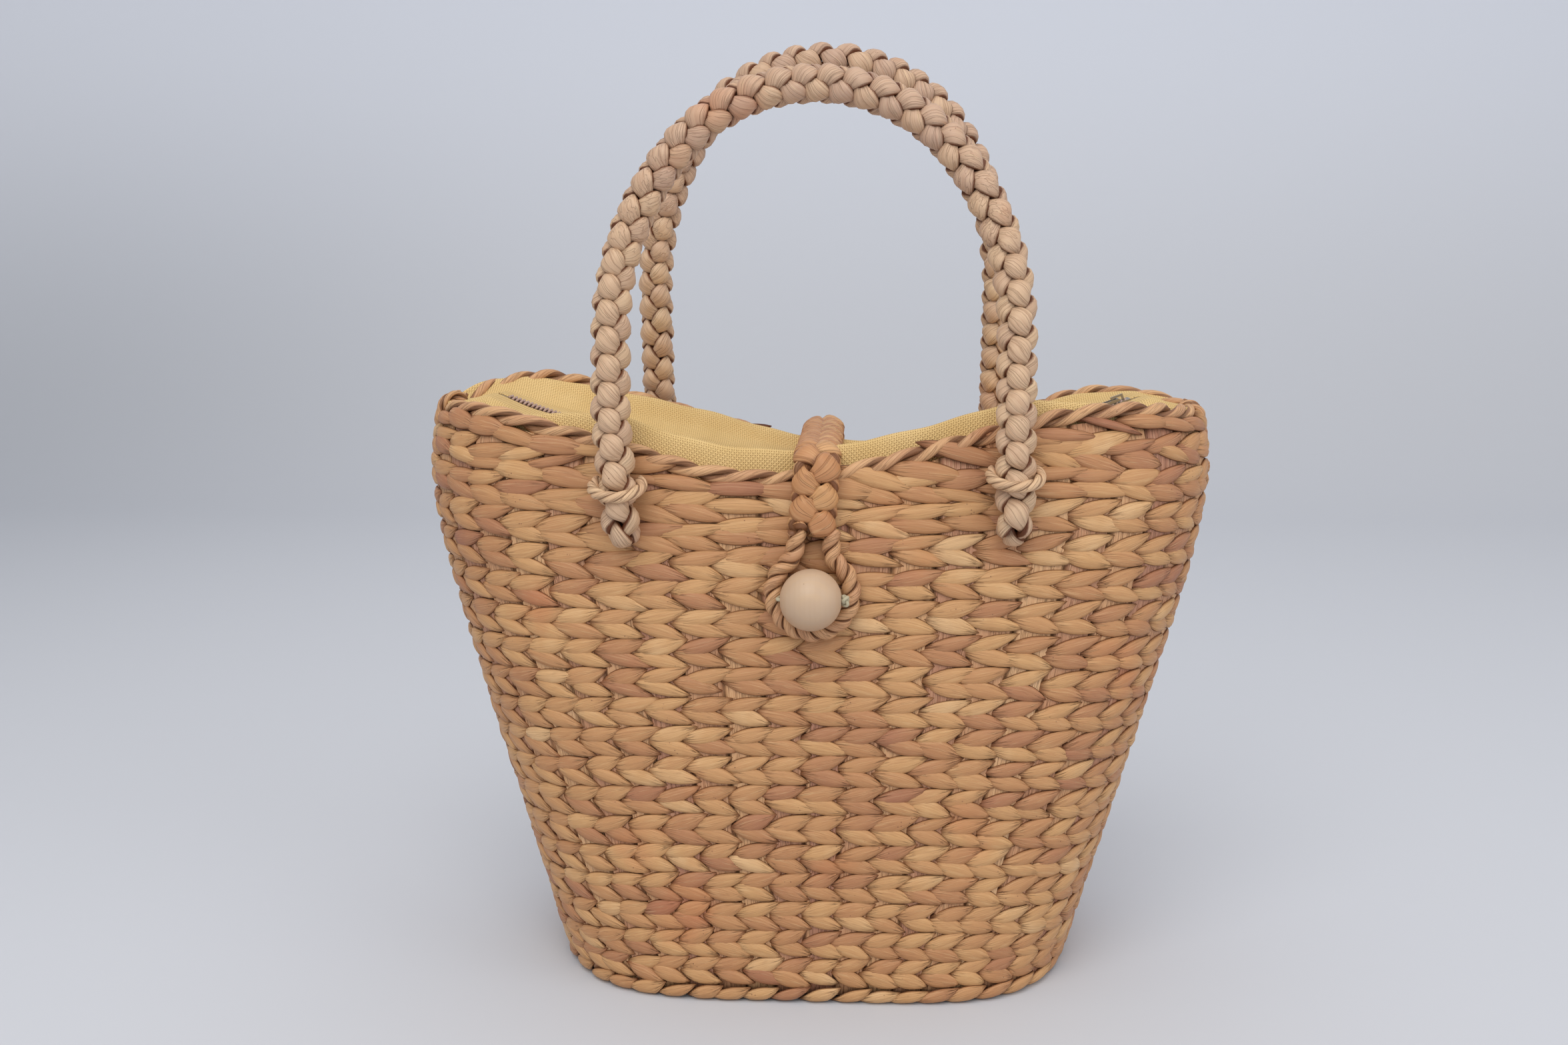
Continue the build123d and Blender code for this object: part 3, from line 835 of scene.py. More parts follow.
def straw_tones(fade=0.0, dim=1.0, redden=1.0):
    """The straw's colours as ramp stops: mixed towards the bleached one, dimmed, reddened."""
    straw = bag().straw
    stops = []
    for place, tone in ((0.0, straw.red), (0.45, straw.tan), (0.85, straw.gold), (1.0, straw.pale)):
        mixed = [dim * ((1 - fade) * a + fade * b) for a, b in zip(tone, straw.bleach)]
        stops.append((place, (mixed[0], mixed[1] * redden, mixed[2] * redden, 1.0)))
    return stops


def straw_material(
    name, tones, streaks=9.0, run=1.6, ends=True, depth=0.0004, specks=True, gap=0.55, groove=0.0
):
    """Dried water-hyacinth strand: fibres along it, pleats with painted shade in their creases, stains, specks,
    and painted shade at its ends and edges.

    Streaks are noise stretched along the strand's own UV, so they follow its bends. gap
    is how dark the painted shade in its pleats is, and groove how dark the painted shade is where it dips under
    another strand and on its side towards the core.
    """
    tree = Tree(name, 0.52, 0.42)
    straw = bag().straw
    across, along = tree.parts(tree.place("UV"))[:2]
    tone = tree.attribute("tone")
    shift = tree.times(tone, 37.0)

    def fibres(wide, long, detail, rough):
        """Noise drawn out along the strand, wide times finer across it and long times along."""
        where = tree.vector(tree.times(across, streaks * wide), tree.times(along, run * long), shift)
        return tree.noise(where, 1.0, detail, rough)

    fine = fibres(6, 1.3, 4.0, 0.65)
    fold = fibres(1.5, 0.55, 2.0, 0.5)
    crease = tree.band(tree.math("ABSOLUTE", tree.less(fold, 0.5)), 0.0, 0.03)
    reach = tree.attribute("reach")
    if ends:
        toward = tree.most(tree.band(reach, 0.66, 0.9), tree.band(reach, 0.4, 0.14))
        open_line = tree.times(tree.less(1.0, crease), tree.math("ADD", toward, 0.2, clamp=True))
        crease = tree.less(1.0, open_line)
    point = tree.place("Object")
    patch = tree.noise(point, 42.0, 3.0, 0.6)
    colour = tree.ramp(tree.plus(tone, tree.times(tree.less(patch, 0.5), 0.55)), tones)
    colour = tree.tint(colour, tree.band(fine, 0.55, 0.33), 0.3, rgb(164, 112, 74))
    colour = tree.tint(colour, tree.band(fine, 0.52, 0.7), 0.28, rgb(236, 206, 158))
    # Painted shade darkens the creases of the pleats.
    colour = tree.tint(colour, tree.less(1.0, crease), gap, straw.crease)
    blush = tree.band(tree.noise(point, 26.0, 2.0), 0.6, 0.78)
    colour = tree.tint(colour, blush, 0.35, rgb(196, 120, 76))
    if ends:
        # Painted shade: darker brown where a lobe's ends dive under its neighbours, and darker still along its
        # side edges.
        tip = tree.most(tree.band(reach, 0.86, 1.0), tree.band(reach, 0.24, 0.04))
        colour = tree.tint(colour, tip, 0.72, rgb(118, 64, 29))
        edge = tree.most(tree.band(across, 0.1, 0.0), tree.band(across, 0.565, 0.665))
        colour = tree.tint(colour, edge, 0.88, rgb(100, 52, 23))
    elif groove:
        # Painted shade where the strand dips under another, and on its side towards the plait's or rope's core.
        under = tree.band(reach, 0.45, 0.12)
        top = tree.math("COSINE", tree.times(tree.less(across, 0.25), 2 * pi))
        shade = tree.most(tree.times(under, 0.75), tree.band(top, 0.4, -0.05))
        colour = tree.tint(colour, shade, groove, straw.groove)
    if specks:
        rare = tree.band(tree.noise(point, 95.0, 2.0), 0.6, 0.68)
        spots = tree.times(tree.dots(point, 520.0, 0.2, 0.1), rare)
        colour = tree.tint(colour, spots, 0.62, rgb(104, 62, 48))
    height = tree.plus(tree.times(fine, 0.35), tree.times(crease, 0.65))
    return tree.finish(colour, tree.bump(height, depth))


def mottled_material(name, colour, roughness, scale, depth, metallic, specular):
    """Even finish with a fine mottle: a colour dimmed and raised a little by noise, and a slight bump."""
    tree = Tree(name, roughness, specular, metallic)
    value = tree.noise(tree.place("Object"), scale, 4.0)
    low, high = ([min(share * part, 1.0) for part in colour] for share in (0.86, 1.15))
    return tree.finish(tree.mix(value, low, high), tree.bump(value, depth, 0.6))


def canvas_material():
    """Open canvas: square mesh of over-and-under threads in UV, one unit a thread pair."""
    tree = Tree("canvas", 0.86, 0.15)
    trim = bag().trim
    u, v = tree.parts(tree.place("UV"))[:2]
    hole = tree.times(tree.band(tree.wave(u, 2 * pi), 0.35, 0.85), tree.band(tree.wave(v, 2 * pi), 0.2, 0.8))
    half = tree.times(tree.wave(u, pi), tree.wave(v, pi))
    thread = tree.mix(tree.noise(tree.place("Object"), 60.0, 2.0), trim.thread_low, trim.thread_high)
    height = tree.plus(tree.times(half, 0.4), tree.less(1.0, hole))
    return tree.finish(tree.tint(thread, hole, 0.85, trim.mesh_gap), tree.bump(height, 0.0005, 0.8))


def wood_material():
    """Pale turned wood: faint rings along X, fine pores and a few specks."""
    tree = Tree("pale_wood", 0.42, 0.4)
    trim = bag().trim
    point = tree.place("Object")
    x, y, z = tree.parts(point)
    warp = tree.times(tree.noise(point, 90.0, 2.0), 2.2)
    rings = tree.math("SINE", tree.plus(tree.times(x, 3200.0), warp))
    grain = tree.noise(tree.vector(tree.times(x, 60.0), tree.times(y, 700.0), tree.times(z, 160.0)), 1.0, 4.0)
    colour = tree.mix(tree.noise(point, 70.0, 2.0), trim.wood_low, trim.wood_high)
    colour = tree.tint(colour, tree.band(grain, 0.55, 0.3), 0.25, rgb(205, 172, 134))
    colour = tree.tint(colour, tree.band(rings, 0.2, 1.0), 0.06, rgb(190, 156, 118))
    spots = tree.times(tree.dots(point, 300.0, 0.12, 0.05), tree.band(tree.noise(point, 140.0, 1.0), 0.6, 0.66))
    colour = tree.tint(colour, spots, 0.6, rgb(120, 84, 58))
    height = tree.plus(tree.times(grain, 0.5), tree.times(rings, 0.15))
    return tree.finish(colour, tree.bump(height, 0.00012, 0.5))


# Straw finishes: bleaching, dimming and reddening of the tones, and the strand's settings
STRAW_FINISHES = {
    "weave": ((), {}),
    "stake": ((0.1, 1.0, 0.96), dict(streaks=1.0, run=1.0, ends=False, specks=False, gap=0.2)),
    "plait": ((0.4, 0.94), dict(streaks=11.0, run=1.0, ends=False, depth=0.00025, gap=0.14, groove=1.0)),
    "braid": ((0.0, 1.0, 0.95), dict(run=1.0, ends=False, depth=0.00025, gap=0.28, groove=0.8)),
    "rope": ((0.1, 1.0, 0.96), dict(streaks=6.0, run=1.2, ends=False, depth=0.0003, gap=0.25, groove=0.7)),
    "lashing": ((0.3,), dict(streaks=5.0, run=1.4, ends=False, depth=0.0003, gap=0.3, groove=0.6)),
}
# Mottled finishes: material's name, roughness, the noise's scale, the bump's depth, and metallic and specular
EVEN_FINISHES = {
    "tape": ("zip_tape", 0.85, 900.0, 0.0001, 0.0, 0.2),
    "coil": ("zip_coil", 0.45, 500.0, 0.0001, 0.0, 0.5),
    "metal": ("zip_metal", 0.38, 300.0, 0.00005, 1.0, 0.5),
    "cord": ("bead_cord", 0.8, 1500.0, 0.0001, 0.0, 0.2),
}
# Materials made so far, by finish
MADE = {}


def make_material(name):
    """A new material of a finish's name."""
    if name in STRAW_FINISHES:
        tones, settings = STRAW_FINISHES[name]
        return straw_material(f"straw_{name}", straw_tones(*tones), **settings)
    if name in EVEN_FINISHES:
        title, *settings = EVEN_FINISHES[name]
        return mottled_material(title, getattr(bag().trim, name), *settings)
    return {"canvas": canvas_material, "wood": wood_material}[name]()


def material(name):
    """The finish of a name, made once."""
    if name not in MADE:
        MADE[name] = make_material(name)
    return MADE[name]


def dress(piece, finish, body="basket", replaced=()):
    """Gives a piece its finish, its body and the nodes that it stands for."""
    piece.data.materials.append(material(finish))
    if body:
        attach(piece, body)
    if replaced:
        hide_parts(*replaced)


# Pieces


def make_wall():
    """Stakes and the shell behind the rows, one closed skin.

    The profile runs from the middle of the base's underside, round its edge, up outside,
    over the rim, down inside and back to the middle. Outside, ribs and gaps repeat with
    the stakes.
    """
    columns = STAKES * STAKE_COLUMNS
    share = np.arange(columns) / columns
    beat = share * STAKES - COLUMN_SHIFT
    local = np.abs(np.mod(beat + 0.5, 1) - 0.5) * 2
    ribs = 0.3 * np.abs(np.sin(pi * (beat + 0.5) * STAKE_RIBS))
    face = -bag().weave.stake_depth / MM + ribs - 1.9 * smooth(local, 0.8, 0.96)
    levels = np.linspace(0, 1, 20)
    top = rim_top(share)
    outside = wall_point(share, 3 + levels[:, None] * (top - 4), face)
    rises = SHELL_INSIDE + levels[::-1, None] * (top - 1.5 - SHELL_INSIDE)
    inside = wall_point(share, rises, -SHELL_INSIDE)
    sizes = np.linspace(0.02, 1, 9)[:, None, None]
    foot = wall_point(share, 3.0, face)
    under = foot * np.array((1, 1, 0)) * sizes + np.array((0, 0, 1.0)) * (2.2 + 0.8 * sizes**8)
    floor = inside[-1] * np.array((1, 1, 0)) * sizes[::-1] + np.array((0, 0, SHELL_INSIDE))
    rings = np.concatenate((under[:-1], outside, inside, floor[1:]))
    quads = tube_faces(1, len(rings), columns)
    start = np.arange(columns)[::-1]
    end = (len(rings) - 1) * columns + np.arange(columns)
    u = np.broadcast_to(beat * STAKE_RIBS, (len(rings), columns))
    v = np.broadcast_to(np.arange(len(rings))[:, None] * 0.8, (len(rings), columns))
    corner = np.stack((u.reshape(-1)[quads], v.reshape(-1)[quads]), -1)
    wrap = np.mod(np.arange(len(quads)), columns) == columns - 1
    corner[wrap, 1:3, 0] += STAKES * STAKE_RIBS
    tone = np.tile(np.mod(np.floor(beat + 0.5) * 0.381966, 1), (len(rings), 1))
    piece = build_mesh("basket_stakes", rings, quads, np.stack((start, end)), corner, {"tone": tone})
    dress(piece, "stake", replaced=("basket_body",))


def make_rows():
    """The twined rows: rows lean by turns, so each pair makes arrowheads."""
    share, height, lean, size = weave_rows()
    rng = np.random.default_rng(5)
    for name, pick in (("weave_lower", height < ROWS_SPLIT), ("weave_upper", height >= ROWS_SPLIT)):
        points = lobe_grid(share[pick], height[pick], lean[pick], rng, size[pick])
        piece = tubes_mesh(name, points, tone_draws(rng, pick.sum()))
        dress(piece, "weave", replaced=("basket_body",))


def make_border():
    """The last row, of long lobes that follow the rim."""
    rng = np.random.default_rng(23)
    count = BORDER_LOBES
    share = (np.arange(count) + 0.4) / count + 0.002 * rng.normal(0, 1, count)
    height = rim_top(share) - BORDER_DROP + 0.4 * rng.normal(0, 1, count)
    size = 1.0 + 0.12 * rng.normal(0, 1, count)
    points = lobe_grid(share, height, np.ones(count), rng, size, BORDER_REACH, lift=0.5, rings=13)
    # Tones drawn lower, so the row under the rim is redder and darker: painted shade at the top of the wall.
    piece = tubes_mesh("weave_border", points, 0.8 * tone_draws(rng, count))
    dress(piece, "weave", replaced=("basket_body",))


def make_base_rows():
    """Rows of the base's underside, straight along X, leaning by turns."""
    rng = np.random.default_rng(31)
    pitch = BASE_PITCH
    tubes = []
    for row in range(-BASE_ROWS, BASE_ROWS + 1):
        y = row * bag().weave.row_step / MM
        reach = (1 - (abs(y) / (BASE_HALF_DEPTH - 4)) ** DEPTH_POWER) ** (1 / LENGTH_POWER)
        reach = (BASE_HALF_LENGTH - 7) * reach
        count = int(2 * reach // pitch)
        x = (np.arange(count) - (count - 1) / 2) * pitch
        t = np.linspace(0, 1, LOBE_RINGS)[None, :]
        s = x[:, None] + (t - 0.5) * 1.3 * pitch + 0.4 * rng.normal(0, 1, (count, 1))
        w = (1 if row % 2 else -1) * 2.0 * np.sin(pi * (t - 0.5)) + 0.3 * rng.normal(0, 1, (count, 1))
        width = 3.6 * (0.3 + 0.7 * np.sin(pi * t**1.2) ** 0.6) * (1 + 0.06 * rng.normal(0, 1, (count, 1)))
        depth = 2.0 + 2.2 * (1 - smooth(t, 0, 0.45)) + 1.6 * smooth(t, 0.85, 1.02)
        across = np.cos(LOBE_RING) * width[:, :, None]
        level = np.maximum(depth[:, :, None] - BASE_THICKNESS * lobe_section(0.75), 0.05)
        tubes.append(np.stack(np.broadcast_arrays(s[:, :, None], y + w[:, :, None] + across, level), axis=-1))
    points = np.concatenate(tubes)
    piece = tubes_mesh("weave_base", points, tone_draws(rng, len(points)))
    dress(piece, "weave", replaced=("basket_body",))


def make_rim():
    """Two-ply rope laid loosely along the wall's top, and an ear of thin rope at each end.

    The rope's path is the oval near the wall's top, drawn in more at its ends. An ear is a
    coil of a little over two turns round a core at the basket's end.
    """
    ropes = bag().ropes
    share = np.arange(900) / 900
    px, _ = oval_at(share)
    path = wall_point(share, rim_top(share) + RIM_RISE, -RIM_INSET - 2.4 * np.abs(px) ** 10)
    path[:, 2] += wander(share, 3, 0.6)
    up = np.tile((0, 0, 1.0), (len(path), 1))
    points, along = twist_rope(path, up, ropes.rim_radius / MM, ropes.rim_turn / MM, closed=True, loose=0.3)
    piece = tubes_mesh("rim_rope", points, [0.62, 0.85], along, closed=True, reach=1.0)
    dress(piece, "rope", replaced=("rim_cord",))
    for hand, side in (("left", -1), ("right", 1)):
        turn = np.linspace(-0.4 * pi, 4.4 * pi, 220)
        share = (0.25 if side > 0 else 0.75) + np.linspace(-0.02, 0.008, 220) * side
        reach = 4.4 + 0.5 * np.sin(turn * 0.43)
        level = rim_top(share) + 1.4 - 0.8 * side
        rise = (1.15 - 0.15 * side) * reach * np.sin(turn)
        path = wall_point(share, level + rise, -EAR_INSET + reach * np.cos(turn))
        core = wall_point(share, level, -EAR_INSET)
        points, along = twist_rope(path, path - core, EAR_RADIUS, EAR_TURN, sides=8)
        piece = tubes_mesh(f"rim_ear_{hand}", points, [0.6, 0.75], along, reach=1.0)
        dress(piece, "rope")


def make_handle(name):
    """A handle's plait from tuck-in to tuck-in, bending at its bow's two pivots."""
    form = HANDLES[name]
    side = form["side"]
    rng = np.random.default_rng(50 + side)
    path = handle_path(side, form["leg"], form["arch"], form["shift"])
    length = length_along(path)
    share = length / length[-1]
    normal = np.tile((0, side * 1.0, 0.0), (len(path), 1))
    twist = pi * form["turn"] + 0.25 * pi * smooth(share, 0.12, 0.4) - 0.25 * pi * smooth(share, 0.6, 0.88)
    taper = 1 - 0.2 * (1 - smooth(np.minimum(length, length[-1] - length), 8, 18))
    radius = bag().plaits.handle_radius / MM * taper
    turn = bag().plaits.handle_turn / MM
    points, along, over = plait(path, normal, radius, radius, turn, twist + pi / 2, rng)
    # Tones fall towards the top of the arch: painted shade, as the arch's top gets less light.
    tones = np.array((0.45, 0.62, 0.85, 0.6))[:, None] - 0.4 * smooth(path[:, 2], 300, 350)
    piece = tubes_mesh(f"{name}_plait", points, tones, along, reach=over)
    nodes = [f"{name}_handle", f"{name}_handle_end_left", f"{name}_handle_end_right"]
    dress(piece, "plait", None, nodes)
    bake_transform(piece)


def make_ties():
    """Lashings round the handles' legs: a three-ply rope from wall to wall."""
    ropes = bag().ropes
    for name, form in HANDLES.items():
        for hand, sign, height, spread in zip(("left", "right"), (-1, 1), TIE_HEIGHTS, END_LOW_SPREADS):
            side = form["side"]
            share = (height - END_LOW) / (PIVOT_HEIGHT - END_LOW)
            x = form["shift"] + sign * (spread + (LEG_SPREAD - spread) * share)
            y = side * (END_LOW_DEPTH + (PIVOT_DEPTH - END_LOW_DEPTH) * share)
            turn = np.linspace(-0.18 * pi, 1.18 * pi, 60)
            outward = np.stack((np.cos(turn), side * np.sin(turn), 0 * turn), axis=1)
            sag = np.stack((0 * turn, 0 * turn, 2.0 - 3.0 * np.sin(turn)), axis=1)
            path = np.array((x, y, height)) + TIE_REACH * outward + sag
            radius, pitch = ropes.lashing_radius / MM, ropes.lashing_turn / MM
            points, along = twist_rope(path, outward, radius, pitch, plies=3, sides=8, apart=0.0)
            piece = tubes_mesh(f"{name}_lashing_{hand}", points, [0.8, 0.9, 0.7], along, reach=1.0)
            dress(piece, "lashing", replaced=(f"{name}_tie_{hand}",))


def make_strap():
    """The closure's braid, from behind the back rim to its loose end in front."""
    rng = np.random.default_rng(71)
    sizes = bag().plaits
    tilt = radians(WALL_TILT)
    down = np.array((0, -sin(tilt), -cos(tilt)))
    hinge = np.array((0, -FLAP_DEPTH, STRAP_HEIGHT))
    route = np.array((
        (2.0, 60.5, 196),
        (2.0, 63.2, 204),
        (2.0, 62.5, 222),
        (2.0, 56, 227.5),
        (2.0, 30, 227),
        (2.0, 0, 226.6),
        (2.0, -35, 227),
        (1.8, -53, 227),
        hinge + down * 5 + np.array((1.6, 0.6, 0)),
        hinge + down * 18 + np.array((1.0, 0, 0)),
        hinge + down * 30,
    ))
    path = smooth_route(route, 0.7, 26)
    normal = np.cross((1.0, 0, 0), unit(np.gradient(path, axis=0)))
    wide, deep = sizes.strap_half_width / MM, sizes.strap_half_depth / MM
    turn = sizes.strap_turn / MM
    points, along, over = plait(path, normal, wide, deep, turn, pi / 4, rng, broad=0.56, dwell=0.24)
    piece = tubes_mesh("closure_braid", points, [0.45, 0.6, 0.85, 0.5], along, reach=over)
    dress(piece, "braid", None, ("closure_strap", "closure_flap"))
    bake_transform(piece)


def make_loop():
    """Two-ply rope ring round the bead, its legs rising to the braid's end."""
    ropes = bag().ropes
    tilt = radians(WALL_TILT)
    up = np.array((0, sin(tilt), cos(tilt)))
    out = np.array((0, -cos(tilt), sin(tilt)))
    centre = np.array((0.3, -half_depth(BEAD_HEIGHT) - 3.7, BEAD_HEIGHT + 0.6))
    radius = ropes.loop_radius / MM
    turn = np.linspace(radians(118), radians(422), 120)
    ring = centre + radius * (np.cos(turn)[:, None] * np.array((1.0, 0, 0)) + np.sin(turn)[:, None] * up)
    left = centre + np.array((-6.0, 0, 0)) + up * 24.5 + out * 0.6
    right = centre + np.array((7.5, 0, 0)) + up * 24.5 + out * 0.6
    path = smooth_route(np.concatenate((left[None], ring, right[None])), 0.5, 20)
    normal = np.tile(out, (len(path), 1))
    points, along = twist_rope(path, normal, ropes.loop_rope_radius / MM, -ropes.loop_turn / MM, sides=12)
    piece = tubes_mesh("closure_rope", points, [0.5, 0.7], along, reach=1.0)
    dress(piece, "rope", "flap", ("closure_loop",))


def zip_height(x):
    """Height of the zip's arc above x."""
    return ZIP_LOW + ZIP_RADIUS - np.sqrt(ZIP_RADIUS**2 - np.asarray(x, dtype=float) ** 2)


def cloth_sheet(name, surface, thickness, uv, replaced):
    """A thin closed sheet: the surface and its copy pushed along its normals, edges joined."""
    rows, columns, _ = surface.shape
    normal = np.cross(np.gradient(surface, axis=1), np.gradient(surface, axis=0))
    normal /= np.linalg.norm(normal, axis=2)[:, :, None] + 1e-9
    top = surface + normal * thickness / 2
    low = surface - normal * thickness / 2
    points = np.concatenate((top.reshape(-1, 3), low.reshape(-1, 3)))
    index = np.arange(rows * columns).reshape(rows, columns)
    face = grid_faces(rows, columns)
    under = face[:, ::-1] + rows * columns
    edge = np.concatenate((index[0, :-1], index[:-1, -1], index[-1, :0:-1], index[:0:-1, 0]))
    after = np.roll(edge, -1)
    rim = np.stack((edge, edge + rows * columns, after + rows * columns, after), -1)
    quads = np.concatenate((face, under, rim))
    piece = build_mesh(name, points, quads, (), np.tile(uv.reshape(-1, 2), (2, 1))[quads])
    dress(piece, "canvas", replaced=replaced)


def make_panels():
    """The two cloth panels beside the zip.

    Across v from the wall to the zip, each rises to a soft fold of two smoothsteps, then
    dips to the zip's arc, with small ripples by sines of x. Beyond the zip's ends the two
    panels' inner edges meet.
    """
    cloth = bag().cloth
    thread = cloth.thread / MM
    for name, side in (("front", -1), ("back", 1)):
        x = PANEL_REACH * np.sin(np.linspace(-0.5, 0.5, 150) * pi)
        v = np.linspace(0, 1, 56)[:, None] ** 1.3
        reach = np.abs(x) / PANEL_REACH
        px = np.clip(np.abs(x) / (half_length(PANEL_LEVEL) - 6), 0, 0.999)
        edge = (half_depth(PANEL_LEVEL) - 6.2) * (1 - px**LENGTH_POWER) ** (1 / DEPTH_POWER)
        edge = np.maximum(edge, 4.5)
        wall = rim_height(x, side * edge) + 1.0
        low = np.minimum(zip_height(x), zip_height(ZIP_HALF_LENGTH)) + 1.7 - 4.0 * smooth(reach, 0.86, 1.0)
        seam = 3.3 - 2.9 * smooth(np.abs(x), ZIP_HALF_LENGTH - 0.4, ZIP_HALF_LENGTH + 2.4)
        y = side * (edge + (seam - edge) * v)
        crest = (cloth.front_crest if side < 0 else cloth.back_crest) / MM
        crest = crest * (1 - 0.85 * smooth(reach, 0.45, 0.85))
        fold = crest * smooth(v, 0.0, 0.1) * (1 - smooth(v, 0.13, 0.27))
        z = wall + (low - wall) * smooth(v, 0.12, 0.5) + fold - 5.0 * (1 - smooth(v, 0, 0.035))
        z = z + 0.5 * np.sin(x / 9 + side) * np.sin(pi * v) + 0.3 * np.sin(x / 4.3 + 2 * v)
        surface = np.stack(np.broadcast_arrays(x, y, z), axis=-1)
        steps = np.linalg.norm(np.diff(surface, axis=0), axis=2)
        down = np.cumsum(np.concatenate((np.zeros((1, len(x))), steps)), axis=0)
        uv = np.stack(np.broadcast_arrays(x / thread, down / thread), axis=-1)
        cloth_sheet(
            f"cloth_panel_{name}", surface, cloth.panel_thickness / MM, uv,
            (f"lining_panel_{name}",),
        )


def make_lining():
    """The cloth bag inside the wall: side wall and floor of one gathered sheet."""
    cloth = bag().cloth
    thread = cloth.thread / MM
    share = np.arange(241) / 240
    top = rim_top(share)
    levels = np.linspace(0, 1, 26)
    fall = levels[::-1, None]
    side = wall_point(share, 9 + fall * (top - 9.5), -8.4 + 0.35 * np.sin(share * 240 + 4 * fall))
    sizes = np.linspace(0.02, 1, 10)[:-1][::-1, None, None]
    floor = side[-1] * np.array((1, 1, 0)) * sizes + np.array((0, 0, 8.8))
    surface = np.concatenate((side, floor))
    around = share * 780 / thread
    down = np.concatenate((levels * 225, 225 + np.linspace(3, 60, 9))) / thread
    uv = np.stack(np.broadcast_arrays(around[None, :], down[:, None]), axis=-1)
    cloth_sheet(
        "cloth_lining", surface, cloth.lining_thickness / MM, uv,
        ("lining",),
    )


def make_zip_coils():
    """Two coils of the zip: a flattened helix along the arc on each side."""
    t = np.linspace(-1, 1, COIL_TURNS * 8 + 1)
    turn = 2 * pi * COIL_TURNS * (t + 1) / 2
    angle = t * asin(COIL_REACH / ZIP_RADIUS)
    for name, side in (("front", -1), ("back", 1)):
        rise = 0.75 * np.sin(turn)
        y = side * (1.75 + 1.25 * np.cos(turn))
        at = ZIP_RADIUS - rise - 0.95 - 1.4 * smooth(np.abs(t), 0.5, 0.75)
        path = np.stack((at * np.sin(angle), y, ZIP_LOW + ZIP_RADIUS - at * np.cos(angle)), axis=1)
        away = (-np.sin(angle) * np.sin(turn), side * np.cos(turn), np.cos(angle) * np.sin(turn))
        points = strand_rings(path, np.stack(away, axis=1), 0.55, 0.45, 6)[None]
        piece = tubes_mesh(f"zip_teeth_{name}", points, [0.5])
        dress(piece, "coil", replaced=(f"zip_coil_{name}",))


def make_knot():
    """The cord's knot at the bead's right mouth: a trefoil of thin cord."""
    t = np.linspace(0, 2 * pi, 97)[:-1]
    middle = np.array((BEAD_RADIUS + 1.3, -BEAD_DEPTH, BEAD_HEIGHT))
    across = 0.682 * np.stack((np.sin(t) + 2 * np.sin(2 * t), np.cos(t) - 2 * np.cos(2 * t)))
    outward = np.stack((0.9 * np.sin(3 * t), *across), axis=1)
    points = strand_rings(middle + outward, outward, 0.7, 0.7, 8)[None]
    piece = tubes_mesh("bead_knot", points, [0.5], closed=True)
    dress(piece, "cord")


def finish_nodes():
    """Finishes of the CAD nodes that show as they are."""
    finishes = {
        "wood": ("bead",),
        "cord": ("bead_cord",),
        "metal": ("zip_slider", "zip_pull", "zip_stop_left", "zip_stop_right"),
        "tape": ("zip_tape_front", "zip_tape_back"),
    }
    for finish, names in finishes.items():
        for name in names:
            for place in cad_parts[name].material_slots:
                place.material = material(finish)


def make_stage():
    """Pale floor that sweeps up behind, soft lights and the camera."""
    stage = bag().stage
    x = np.linspace(-6000, 6000, 3)
    y = np.concatenate(([-4000], 1200 + 900 * np.sin(np.linspace(0, pi / 2, 16)), [2100]))
    z = np.concatenate(([0], 900 - 900 * np.cos(np.linspace(0, pi / 2, 16)), [5000]))
    grid = np.stack(np.broadcast_arrays(x[None, :], y[:, None], z[:, None]), axis=-1)
    floor = build_mesh("floor", grid, grid_faces(len(y), len(x)))
    tree = Tree("floor", 0.9, 0.1)
    side, _, height = tree.parts(tree.place("Object"))
    # Painted light: across x, the floor mixes from its shaded left colour to its lit right colour.
    near = tree.mix(tree.band(side, -1.4, -0.2), stage.floor_left_shaded, stage.floor_right_lit)
    tree.finish(tree.mix(tree.band(height, 0.02, 0.85), near, stage.backdrop))
    floor.data.materials.append(tree.material)
    scene = bpy.context.scene
    camera = bpy.data.objects.new("camera", bpy.data.cameras.new("camera"))
    camera.data.lens = stage.lens
    camera.data.sensor_width = 36.0
    camera.data.clip_start = 0.02
    camera.location = stage.camera_place
    camera.rotation_euler = (pi / 2 - stage.pitch, 0, stage.yaw)
    scene.collection.objects.link(camera)
    scene.camera = camera
    lights = (
        ("key", (-0.25, -1.35, 1.7), 1.7, stage.key, (1.0, 0.985, 0.96)),
        ("fill", (1.6, -1.0, 1.0), 1.6, stage.fill, (0.98, 0.99, 1.0)),
        ("top", (0.1, 0.3, 2.0), 1.8, stage.top, (1.0, 1.0, 1.0)),
    )
    for name, place, size, power, colour in lights:
        data = bpy.data.lights.new(name, "AREA")
        data.shape = "DISK"
        data.size = size
        data.energy = power
        data.color = colour
        light = bpy.data.objects.new(name, data)
        light.location = place
        away = np.array(place) - np.array((0, 0, 0.16))
        flat = sqrt(away[0] ** 2 + away[1] ** 2)
        light.rotation_euler = (atan2(flat, away[2]), 0, atan2(away[0], -away[1]))
        scene.collection.objects.link(light)
    world = bpy.data.worlds.new("world")
    world.use_nodes = True
    world.node_tree.nodes["Background"].inputs[0].default_value = (0.9, 0.885, 0.87, 1)
    world.node_tree.nodes["Background"].inputs[1].default_value = stage.world
    scene.world = world
    scene.view_settings.view_transform = "Standard"


class BASKETBAG_OT_stage(bpy.types.Operator):
    """Make the floor, the lights, the world and the camera"""

    bl_idname = "basketbag.stage"
    bl_label = "Stage"

    def execute(self, context):
        make_stage()
        return {"FINISHED"}


class BASKETBAG_OT_wall(bpy.types.Operator):
    """Make the stakes and the shell behind the rows"""

    bl_idname = "basketbag.wall"
    bl_label = "Wall stakes"

    def execute(self, context):
        make_wall()
        return {"FINISHED"}


